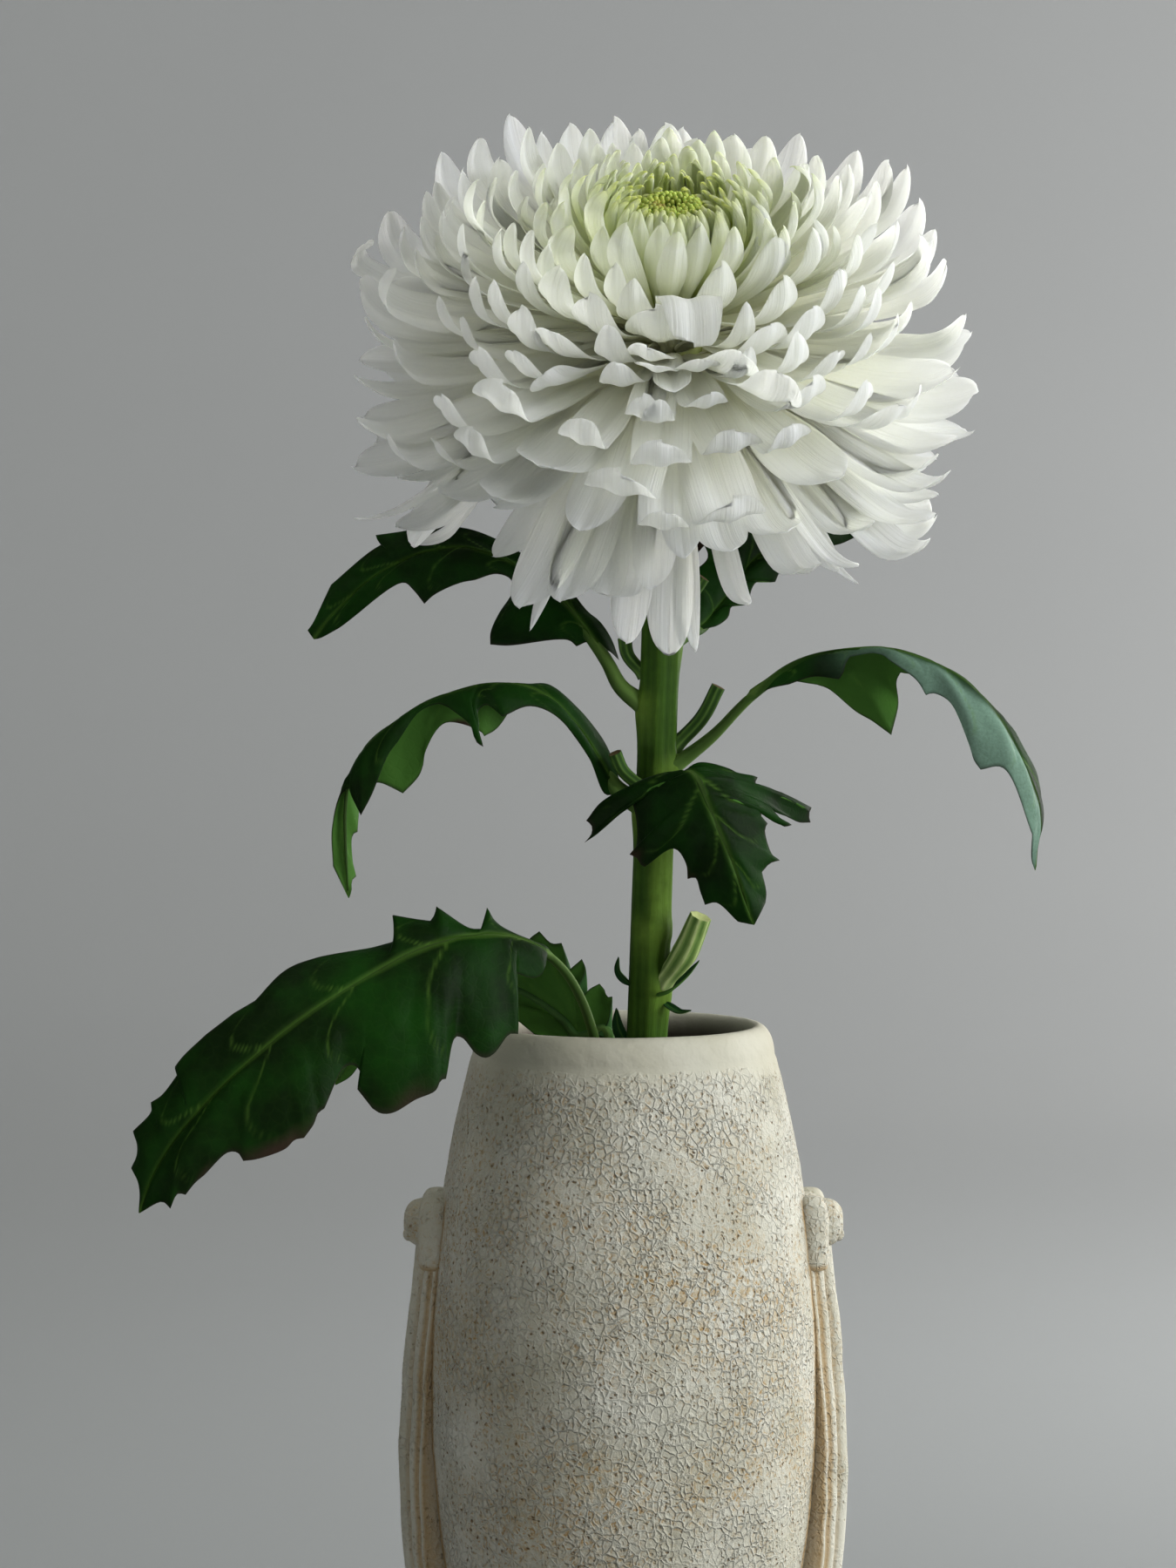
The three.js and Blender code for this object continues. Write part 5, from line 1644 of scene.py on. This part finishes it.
    def build(self) -> None:
        """Makes the bloom's pieces."""
        white = PetalFinish().make()
        for order in range(len(WHORLS)):
            name = f"ray_floret_whorl_{order + 1:02d}"
            place(name, self.whorl(order), white, [name], Slot.PETAL)
        place("disc_florets", self.disc(), DiscFinish().make(), ["disc_florets"], Slot.DISC)
        bract = LeafFinish("bract", above=(0.05, 0.11, 0.03), fresh=(0.08, 0.16, 0.045))
        place("involucre", self.bracts(), bract.make(), ["involucre"], Slot.BRACT)


# ---------------------------------------------------------------- foliage by name


LEAVES = (
    Leaf(
        "leaf_large_lower_left", (163, 165),
        (
            (-4.8, -20, 173), (-6.9, -22.6, 182), (-9.6, -25.5, 190), (-13.1, -29, 196.5),
            (-18.5, -34, 202.3), (-25, -38.5, 205.4), (-32.7, -43.2, 206.2), (-39.9, -46.8, 205.2),
            (-46.9, -49.8, 203), (-55, -52.8, 198.8), (-66.4, -57.3, 192), (-77.3, -60.6, 184.1),
            (-87.2, -63, 175.2), (-96.2, -64.8, 165.4), (-101.8, -65.7, 156.7), (-105.6, -66, 147.6),
        ),
        (
            (0.27, -0.3, -17.4, 202), (0.34, -0.3, -18.3, 197.1, -20.4, 196.2, -24, 197.5),
            (0.355, -0.3, -23.6, 184.5),
            (0.455, -0.3, -25.5, 184.5, -28.7, 180.7, -30.6, 179.7, -32.7, 180.5, -35.9, 184.2, -37.3, 184.4,
             -39.3, 175.7),
            (0.54, -0.3, -40.4, 175.4, -41.5, 173.3, -45.8, 171.5, -50.7, 168.8, -53.3, 168.7, -55.2, 169.8),
            (0.555, -0.3, -58.5, 173.9),
            (0.655, -0.3, -57.8, 175.9, -58.3, 178.4, -59.8, 179.2, -61.5, 178.5, -65.5, 170.1),
            (0.69, -0.3, -66.8, 169.2, -67.7, 166.9, -69.8, 164),
            (0.755, -0.3, -71.8, 163.6, -73.7, 161.8, -79.9, 159.6, -82.9, 159.2),
            (0.815, -0.3, -84.1, 160.9, -86.2, 161, -91.4, 156.1), (0.845, -0.3, -93.2, 154.6, -95.3, 152),
            (0.88, -0.3, -97, 152.2, -98.6, 149), (1, 0, -100.4, 150.2, -105.6, 147.5),
        ),
        (
            (0.27, 0.3, -17.7, 202.7), (0.375, 0.7, -26.6, 206.5, -29.3, 209.1, -30.7, 211.8),
            (0.395, 0.9, -31.7, 207.3), (0.445, 0.7, -34.6, 207.7, -41.8, 212.4),
            (0.455, 0.9, -42.2, 210.6, -43.1, 209.3), (0.51, 0.9, -51.4, 210.6), (0.53, 1.4, -49.7, 205.2),
            (0.745, 0.55, -54.9, 203.8, -68.5, 201.4, -74.9, 198.9, -81.1, 192.8), (0.78, 0.5, -85.8, 190.1),
            (0.815, 0.5, -91.7, 185.6), (0.855, 0.5, -96.7, 180.9, -98.4, 178.7), (0.86, 0.5, -96.9, 178.3),
            (0.9, 0.5, -101.2, 172.6, -103.6, 171), (0.935, 0.5, -103.4, 169.2, -107.4, 164.8),
            (0.965, 0.5, -106.4, 162.3, -106.5, 159.5, -107.6, 157.1),
            (1, 0, -106.2, 155, -105.5, 152.1, -105.8, 147.5),
        ),
        (0.335, 0.45, 0.6, 0.73, 0.84), (0.34, 0.47, 0.62, 0.75, 0.86), (0.07, 0.1), seed=1,
        dry=((0.72, 0.035, 1), (0.5, 0.02, 0.6), (0.815, 0.01, 0.5)),
    ),
    Leaf(
        "leaf_front", (206.5, 276),
        (
            (9.8, -33.8, 217.6), (10.7, -37, 229.5), (12, -41.5, 238.6), (13.5, -45.5, 242.6),
            (15.7, -49, 241.3), (18, -51, 236), (19.9, -52, 231.3), (22, -52.5, 226.4), (24.3, -52.6, 220.3),
            (26.2, -52.3, 214.5), (27.9, -52, 209.5),
        ),
        (
            (0.46, 0.3, 13.2, 242.6), (0.53, 0.6, 16.3, 244.3, 22.7, 243.1, 27.4, 240.7, 29.5, 240.7),
            (0.55, 0.6, 28.9, 239.5, 29.5, 238.4, 31.9, 237.2),
            (0.572, 0.8, 32.7, 235.7, 35.2, 235.7, 38, 234.6, 40.8, 232.9, 42, 233.5),
            (0.576, 0.8, 41.4, 231.9, 41.8, 230.1),
            (0.6, 0.7, 39, 230.3, 36.3, 231.8, 33.5, 233, 32.2, 234.3), (0.61, 0.5, 35.5, 230.9, 37, 230.3),
            (0.63, 0.5, 35.2, 230, 30.1, 234.7), (0.67, 0.5, 29.9, 233, 31.4, 231),
            (0.745, 0.5, 30.8, 229.6, 32.5, 224, 34.1, 222.8), (0.79, 0.45, 31.9, 222.3, 30.1, 220.5),
            (0.87, 0.45, 31.1, 216.1, 30.9, 213.8), (1, 0, 28.3, 209.1),
        ),
        (
            (0.46, 0.3, 13.2, 242.6), (0.525, 0.3, 7.6, 241.8, -4.9, 235.7, -8.6, 231.2),
            (0.535, 0.3, -7.4, 230.1, -7.4, 228.3, -9, 226.2),
            (0.56, 0.5, -6.7, 227.9, -2.4, 234, 1.3, 236.8), (0.615, 0.4, 2.6, 230.9, 2.2, 225.1, 0.9, 223.9),
            (0.64, 0.35, 2.6, 223.2, 3.4, 221.8, 4.3, 221.3),
            (0.725, 0.35, 10.8, 225.6, 13.3, 222.4, 13.7, 218.9),
            (0.79, 0.35, 15.4, 219.2, 16.4, 216.3, 17.5, 213.2), (0.92, 0.3, 20, 213.8, 24.7, 209.7),
            (1, 0, 28.3, 209.1),
        ),
        (0.5, 0.6, 0.7, 0.82), (0.51, 0.62, 0.74, 0.86), (0.06, 0.06), seed=3,
        dry=((0.62, -0.008, 0.8), (0.725, -0.012, 0.6)),
        girth=((0, 3.4), (0.05, 3.7), (0.15, 3.3), (0.3, 3.3), (0.43, 2.6), (0.5, 1.1), (0.62, 0.7), (1,
         0.2)),
    ),
    Leaf(
        "leaf_left", (234, 202),
        (
            (-1, -28.2, 237.2), (-3.3, -29, 240.2), (-5.7, -29.8, 244.4), (-8.8, -30.4, 249.1),
            (-12.1, -31, 253.4), (-15.4, -31.6, 257.1), (-19.9, -32.5, 259.8), (-25.7, -33.8, 261.4),
            (-31.4, -34.8, 261.5), (-37.4, -35.6, 260), (-44, -36.2, 257.5), (-50.2, -36.9, 253.8),
            (-55.6, -37.1, 249.6), (-59.5, -36.9, 244.7), (-61.6, -36.5, 239.3), (-62.3, -35.8, 233.4),
            (-62.3, -35, 226.5), (-62, -34.2, 219.7), (-61.7, -33.5, 213.6),
        ),
        (
            (0.07, 0, -2.2, 236.5),
            (0.42, -0.5, -4.3, 236.5, -8.2, 245.2, -15.4, 254.2, -21.2, 256.5, -27.1, 254.3),
            (0.46, -0.3, -30.8, 256.9, -32.7, 255.2, -32.4, 251.7, -32.7, 249.4, -31.4, 247.7),
            (0.49, -0.4, -32.9, 248.7, -34.1, 252.2, -39.1, 256.3),
            (0.69, -0.25, -41.5, 257.1, -46.1, 255, -50.3, 248.9, -52.4, 246, -56.2, 236.8, -58.5, 232.5),
            (0.735, 0, -60.8, 236.7, -61.2, 238.3), (0.9, 0.15, -63, 237.1, -65.2, 229.5, -65.1, 220.8),
            (1, 0, -61.7, 213.6),
        ),
        (
            (0.07, 0.5, -1, 237.8),
            (0.36, 1.8, -1.2, 239.7, -4.9, 248.9, -16.2, 260.7, -19.3, 261.3, -22.8, 260.3),
            (0.43, 0.4, -28.6, 251.2, -31.4, 249.6),
            (0.545, 0.45, -32.1, 250.6, -40, 252.7, -44.4, 246.4, -45, 243.2),
            (0.57, 0.4, -46, 240.6, -49.6, 236.7),
            (0.72, 0.7, -55.1, 239.2, -57.6, 238.4, -59.2, 236, -59.5, 232.6), (0.76, 0.5, -59.8, 228.2),
            (0.88, 0.4, -60.8, 227.6, -60.8, 221.4, -60, 218.3),
            (1, 0, -60.9, 217.4, -60.9, 215.3, -61.5, 213.6),
        ),
        (0.3, 0.4, 0.5, 0.61, 0.73, 0.85), (0.28, 0.37, 0.47, 0.58, 0.7, 0.82), (0.1, 0.08), seed=4,
        dry=((0.462, -0.012, 1.6),),
    ),
    Leaf(
        "leaf_right", (242.5, 343),
        (
            (20.1, -27, 250), (28.3, -28, 258.9), (31.4, -28.6, 261.7), (35.6, -29.8, 265),
            (40.6, -31.2, 267.4), (46.1, -32.8, 268.8), (51.8, -34.6, 269.4), (57.6, -36.2, 269.5),
            (63.3, -37.6, 268.1), (69, -38.6, 266), (74, -39.4, 263.4), (78.4, -40.2, 259.3),
            (82.4, -40.8, 254.2), (85.9, -41, 247.6), (88.8, -40.7, 241.8), (91, -40.1, 235.6),
            (91.7, -39.4, 229.7), (91.2, -38.6, 224.8), (91.1, -38, 220.1),
        ),
        (
            (0.19, 0.5, 28.7, 259.3), (0.31, 0.6, 32.6, 261.4, 35.7, 262, 43.1, 261),
            (0.37, 0.45, 45.7, 260, 52.3, 254.6, 55.5, 252.8, 60.1, 249.5),
            (0.47, 1.2, 61.7, 256.3, 61, 261.9, 61.7, 263.8),
            (0.65, 0.9, 65.2, 263.1, 68.2, 261, 74.9, 255.5, 79.4, 246.2),
            (0.72, 2.2, 82.9, 247, 84.7, 248.7, 88.4, 245.6),
            (0.93, 1.5, 92.5, 237, 92.8, 229.4, 91.8, 226.8), (1, 0, 91.3, 220.1),
        ),
        (
            (0.19, -0.2, 27.9, 258.5), (0.27, -0.4, 30.2, 259.1, 32.7, 260.3, 36.5, 261.2),
            (0.345, -0.4, 42.1, 263, 47.6, 262.5), (0.4, -0.8, 48.5, 263.8, 49.1, 266, 50.1, 267.5),
            (0.47, -0.8, 55, 268.3, 57.3, 267.8, 58.8, 266.6), (0.54, -0.4, 64.5, 262.4, 66.5, 259.2),
            (0.615, -0.3, 68.1, 259.6, 71.7, 257.7, 75.9, 248.2, 76.9, 244.9, 78.3, 242.9),
            (0.87, -0.5, 83.2, 243.3, 89.9, 228.5), (1, 0, 90.4, 222.2, 91.3, 220.1),
        ),
        (0.24, 0.33, 0.45, 0.57, 0.68, 0.8), (0.26, 0.36, 0.49, 0.585, 0.7, 0.82), (0.08, 0.1), seed=5,
        dry=((0.615, 0.006, 0.4),), wax=1,
    ),
    Leaf(
        "leaf_upper_left", (256.5, 194),
        (
            (-0.8, -25.5, 260.5), (-3.6, -23.5, 265.5), (-6, -19, 269.4), (-9.6, -14.5, 274.4),
            (-13.5, -10, 279.1), (-18.7, -4.5, 283.7), (-24.8, 0, 287.7), (-31.3, 4, 290.4),
            (-38.4, 7.5, 291.6), (-45.9, 10, 290.2), (-53.2, 11.2, 287.2), (-59.7, 11.2, 282.9),
            (-65.3, 10, 277.7), (-69.1, 9, 273.7), (-71.6, 8, 270.3),
        ),
        (
            (0.16, -0.2, -3.3, 264.3), (0.245, -0.3, -7.8, 270.3, -10.8, 269.3),
            (0.36, -0.25, -12.7, 270.7, -26.6, 269.4, -30.4, 269.6),
            (0.455, -0.3, -30.4, 272.1, -29, 275.7, -25.5, 280.9, -25.2, 283.3),
            (0.56, -0.3, -26.4, 284.7, -29.6, 285.5, -34.2, 284.1),
            (0.635, -0.3, -37.7, 283.4, -43.7, 280.6, -45.9, 278.6),
            (0.87, -0.3, -48.6, 281.8, -50.8, 283.4, -65.8, 272.9), (1, 0, -70.3, 270.5, -71.6, 270.3),
        ),
        (
            (0.16, 0.3, -1.1, 266.2),
            (0.4, 0.7, -2.7, 270.7, -5.2, 274.6, -8.2, 277.1, -12.8, 282.6, -18.8, 286.9),
            (0.74, 0.5, -26.2, 291.9, -36.4, 296, -46.8, 296.2, -50.7, 295.4, -57.6, 294.4),
            (0.755, 0.5, -57, 293, -55.9, 292.4), (0.86, 0.5, -59, 290.4, -67.9, 282.9),
            (0.97, 0.2, -72.2, 273.5, -73.1, 272.3), (1, 0, -71.6, 270.3),
        ),
        (0.25, 0.38, 0.5, 0.62, 0.75, 0.87), (0.28, 0.42, 0.54, 0.66, 0.78, 0.88), (0.08, 0.08), seed=6,
    ),
    Leaf(
        "leaf_lower_back", (160, 120),
        (
            (-1.4, -9.5, 172), (-4, -6, 181), (-10.4, -3, 179.2), (-13.2, 0, 182.3), (-17.3, 3.2, 185.4),
            (-22.1, 7, 188.1), (-26.4, 10.5, 189.6), (-31.6, 14, 190.1), (-37.7, 16.5, 189.4),
            (-43.9, 18.5, 187.6), (-50.1, 20, 184.6), (-56.3, 20.3, 180.4), (-62.4, 19.5, 173.7),
            (-67.4, 18, 165.9),
        ),
        (
            (0.2, 0, -6.4, 180.1), (0.225, -0.1, -4, 182.4, -2.6, 188.9),
            (0.24, -0.1, -3.8, 188.8, -4.4, 190.4, -5.6, 191.8), (0.26, -0.1, -8, 190.4, -9.6, 188.3),
            (0.28, -0.1, -10.8, 189.9, -8.8, 195.2, -9.6, 197.4), (0.3, -0.1, -13.2, 194.2),
            (0.31, -0.1, -13.4, 197.8, -14.2, 201), (0.34, -0.1, -16.4, 200.8, -19.4, 203.5),
            (0.4, 0, -21.8, 201.4, -23.9, 195.9), (0.52, 0, -27.4, 196.9, -31.5, 197.1, -35.6, 196.1),
            (0.7, 0, -45.9, 193.5, -51.1, 190.4), (1, 0, -58.7, 184.9, -63.4, 177.8, -67.6, 165.5),
        ),
        (
            (0.2, 0.3, -7.2, 178.3), (0.32, 0.5, -9.6, 176.5, -16.8, 176.8, -19.7, 178.7, -24.9, 182.4),
            (0.46, 0.6, -25.4, 186.3, -26.6, 184.1, -29.1, 181.8, -32.4, 182.3),
            (0.64, 0.6, -34.5, 185.4, -37.4, 182.7, -43, 180.2, -46.1, 180.5),
            (0.84, 0.4, -48.6, 181.5, -51.9, 177.2, -56.4, 173.6),
            (1, 0, -60.4, 171.8, -64, 167.4, -67.4, 165.5),
        ),
        (0.24, 0.31, 0.42, 0.55, 0.7), (0.26, 0.4, 0.54, 0.68, 0.8), (0.06, 0.06), seed=2,
    ),
    Leaf(
        "leaf_upper_right", (271, 30),
        (
            (17.5, -15, 274), (20.9, -10, 277.5), (23.8, -6, 281), (26.7, -2, 284.9), (30.4, 2, 289.3),
            (36, 6, 292.8), (42.2, 10, 295.2), (49.4, 13, 296), (55.5, 14, 294.8),
        ),
        (
            (0.12, 0, 15.4, 273.3), (0.28, -0.1, 15.9, 276, 15.7, 279.1, 16.7, 281.9, 14.6, 285.4),
            (0.38, -0.1, 19, 289.3, 17.8, 293.3), (0.5, 0, 25.1, 294.9, 26, 299.3),
            (0.68, 0, 30.8, 298.1, 34.9, 299.3, 38, 301.3), (1, 0, 43.2, 299.3, 49.4, 298.5, 55.5, 294.8),
        ),
        (
            (0.12, 0.2, 18, 273.3), (0.28, 0.3, 21.2, 274, 23.7, 275.9, 24.5, 278.3, 28.1, 278.6),
            (0.42, 0.4, 30.3, 283.7, 34.8, 283.7), (0.6, 0.4, 36.5, 286.9, 39, 288.4, 44.3, 288.4),
            (1, 0, 46, 291.2, 50.6, 292.4, 55.7, 294.8),
        ),
        (0.24, 0.36, 0.5, 0.66), (0.24, 0.38, 0.54, 0.7), (0.06, 0.06), seed=7,
    ),
)

SHOOTS = (
    Shoot("side_shoot_lower", (193.5, 325.0), ((13.4, -30, 200.8), (17, -32.5, 209.4)), (1.9, 3.0, 2.5)),
    Shoot("side_shoot_left", (237.5, 225.0), ((-0.4, -31.4, 242), (-2.2, -32.6, 246)), (1.4, 1.5)),
    Shoot("side_shoot_right", (246.2, 18.0), ((17.4, -23.4, 253.4), (21.1, -24.2, 260.5)), (1.7, 1.6)),
    Shoot("side_shoot_upper_left", (263.2, 176.0), ((0.8, -23.8, 267.5), (0, -23.6, 271.5)), (1.4, 1.6)),
    Shoot("side_shoot_upper_right", (278.3, 327.0), ((15.2, -27, 281.6), (17.6, -27.6, 285)), (1.5, 1.5)),
)

LEAFLETS = (
    Leaflet("leaflet_lower_shoot", (191.0, 300.0),
            ((10.2, -33.2, 192.6), (13.6, -36, 196), (16.6, -37.2, 200)), 1.8, (0.0, -0.4, 0.9)),
    Leaflet("leaflet_shoot_foot", (189.5, 318.0), ((12.4, -29.6, 187.6), (15, -31, 188.2)), 1.0,
            (0.0, -0.6, 0.8)),
    Leaflet("leaflet_stem_left", (193.4, 200.0), ((-1.2, -25.8, 196.4), (-1.4, -26.4, 199.8)), 1.2,
            (-0.8, -0.6, 0.0)),
    Leaflet("leaflet_at_lip", (178.5, 150.0), ((-1.2, -19, 183), (-1.8, -18.2, 187.4)), 1.6,
            (-0.3, -0.9, 0.0)),
    Leaflet("leaflet_withered", (288.5, 5.0), ((16.8, -20, 293), (21, -17.4, 296.5)), 1.8,
            (0.0, -0.9, 0.3), dry=1.0),
)


@dataclass
class Foliage:
    """The leaves, the stubs of side shoots and the small leaflets, each grown from the stem's skin."""

    stem: Stem
    leaflet_depth: float = 0.2  # how far under the stem's skin they start
    shoot_depth: float = 1.2

    def build(self) -> None:
        """Makes each piece."""
        green = LeafFinish().make()
        # a paler copy of the leaf finish, for the leaf behind the vase's lip
        paler_copy = LeafFinish("paler_copy_leaf", above=(0.022, 0.070, 0.018), fresh=(0.050, 0.120, 0.035)).make()
        for leaf in LEAVES:
            finish = paler_copy if leaf.name == "leaf_lower_back" else green
            place(leaf.name, leaf.shell(self.stem.on_surface(*leaf.foot)), finish, [leaf.name], Slot.LEAF)
        small = LeafFinish("leaflet", above=(0.012, 0.045, 0.014)).make()
        for leaflet in LEAFLETS:
            start = self.stem.on_surface(*leaflet.foot, self.leaflet_depth)
            place(leaflet.name, leaflet.shell(start), small, [leaflet.name], Slot.LEAFLET)
        fresh = StemFinish("shoot", furrow=(0.07, 0.14, 0.03), ridge=(0.26, 0.36, 0.11),
                           pale=(0.46, 0.53, 0.25)).make()
        stub = StemFinish("stub", furrow=(0.02, 0.05, 0.012), ridge=(0.05, 0.11, 0.02),
                          pale=(0.10, 0.18, 0.04), pith=(0.10, 0.07, 0.035)).make()
        for shoot in SHOOTS:
            start = self.stem.on_surface(*shoot.foot, self.shoot_depth)
            finish = fresh if shoot is SHOOTS[0] else stub
            place(shoot.name, shoot.shell(start), finish, [shoot.name], Slot.SHOOT)


# ---------------------------------------------------------------- the studio


@dataclass(frozen=True)
class Lamp:
    """A square area light that can't be seen: its place, the point that it faces, side, watts and beam."""

    name: str
    where: Point
    at: Point
    size: float
    power: float
    colour: Colour
    spread: float = 180.0

    def build(self) -> None:
        """Adds the light."""
        lamp = bpy.data.lights.new(self.name, "AREA")
        lamp.energy, lamp.color, lamp.size = self.power, self.colour, self.size
        lamp.spread = math.radians(self.spread)
        light = bpy.data.objects.new(self.name, lamp)
        light.location = self.where
        light.rotation_euler = (Vector(self.at) - Vector(self.where)).to_track_quat("-Z", "Y").to_euler()
        light.visible_camera = False
        bpy.context.scene.collection.objects.link(light)


LAMPS = (
    Lamp("window", (1.78, -0.72, 0.78), (0.0, 0.0, 0.28), 1.5, 60.0, (0.98, 1.0, 0.985)),
    Lamp("crown", (-0.6, -0.95, 1.9), (0.0, -0.02, 0.37), 1.0, 3.5, (1.0, 1.0, 0.96)),
    Lamp("sky", (0.45, 0.2, 2.5), (0.0, 0.0, 0.3), 1.8, 11.0, (0.98, 1.0, 1.0)),
    Lamp("fill", (-0.5, -1.7, 0.12), (0.0, 0.0, 0.36), 1.2, 6.0, (1.0, 1.0, 0.97)),
    Lamp("wall", (1.9, 1.5, 0.5), (0.75, 2.6, 0.0), 1.0, 175.0, (1.0, 0.96, 0.94)),
    Lamp("ground", (1.15, 0.8, 0.8), (0.55, 0.5, 0.0), 0.5, 3.2, (1.0, 0.985, 0.97), 60.0),
    Lamp("under", (-1.35, -0.75, 0.1), (0.0, -0.03, 0.37), 0.4, 0.2, (1.0, 1.0, 0.98), 22.0),
)


@dataclass
class Studio:
    """A round pale sweep, a large window light from the right, weak fill and the camera, in metres."""

    floor_radius: float = 1.3
    floor_height: float = -0.0002
    wall_radius: float = 3.0
    wall_height: float = 3.4
    sweep: float = 1.5
    steps: tuple[int, int, int] = (8, 32, 120)  # points along the floor, up the sweep and round
    room: Colour = (0.84, 0.85, 0.72)
    room_strength: float = 0.40
    bounces: int = 10  # light passes between many white petals before it's lost
    eye: Point = (-0.0082, -1.1, 0.2976)
    pitch: float = 3.14
    lens: float = 110.0
    sensor: float = 36.0
    near: float = 0.05

    def _backdrop(self) -> None:
        """The floor and wall: a disc, a quarter ellipse and an upright wall, turned about the vase's axis."""
        on_floor, on_sweep, on_round = self.steps
        bend = np.linspace(0.0, 0.5 * np.pi, on_sweep)
        across = self.floor_radius + (self.wall_radius - self.floor_radius) * np.sin(bend)
        curve = np.stack([across, self.sweep * (1.0 - np.cos(bend))], -1)
        flat = np.stack([np.linspace(0.01, self.floor_radius, on_floor), np.zeros(on_floor)], -1)[:-1]
        line = np.concatenate([flat, curve, [[self.wall_radius, self.wall_height]]])
        rings = turned(line + (0.0, self.floor_height), on_round)
        rows, columns = rings.shape[:2]
        grid = np.arange(rows * columns).reshape(rows, columns)
        quads = np.roll(grid_quads(grid, np.roll(grid, -1, axis=1))[:, ::-1], 1, axis=1)
        mesh = bpy.data.meshes.new("backdrop")
        mesh.from_pydata(rings.reshape(-1, 3).tolist(), [], [*quads.tolist(), grid[0].tolist()])
        mesh.polygons.foreach_set("use_smooth", np.ones(len(mesh.polygons), bool))
        backdrop = bpy.data.objects.new("backdrop", mesh)
        backdrop.data.materials.append(StudioFinish().make())
        bpy.context.scene.collection.objects.link(backdrop)

    def build(self) -> None:
        """Makes the backdrop, the lights and the camera."""
        self._backdrop()
        for lamp in LAMPS:
            lamp.build()
        world = bpy.data.worlds.new("room")
        world.use_nodes = True
        inputs = world.node_tree.nodes["Background"].inputs
        inputs["Color"].default_value = (*self.room, 1.0)
        inputs["Strength"].default_value = self.room_strength
        scene = bpy.context.scene
        scene.world = world
        scene.view_settings.view_transform = "Standard"
        scene.cycles.diffuse_bounces = self.bounces
        lens = bpy.data.cameras.new("camera")
        lens.lens, lens.sensor_width, lens.clip_start = self.lens, self.sensor, self.near
        camera = bpy.data.objects.new("camera", lens)
        camera.location = self.eye
        camera.rotation_euler = Euler((math.radians(90.0 - self.pitch), 0.0, 0.0))
        scene.collection.objects.link(camera)
        scene.camera = camera


def main() -> None:
    """Builds the studio and the object's pieces in order."""
    logging.basicConfig(level=logging.INFO, format="%(message)s")
    frame_of_bloom = BloomFrame()
    stem = Stem(frame_of_bloom)
    Studio().build()
    Vase().build()
    place("stem", stem.shell(), StemFinish().make(), ["stem"], Slot.STEM)
    Foliage(stem).build()
    Bloom(frame_of_bloom).build()


if __name__ == "__main__":
    main()
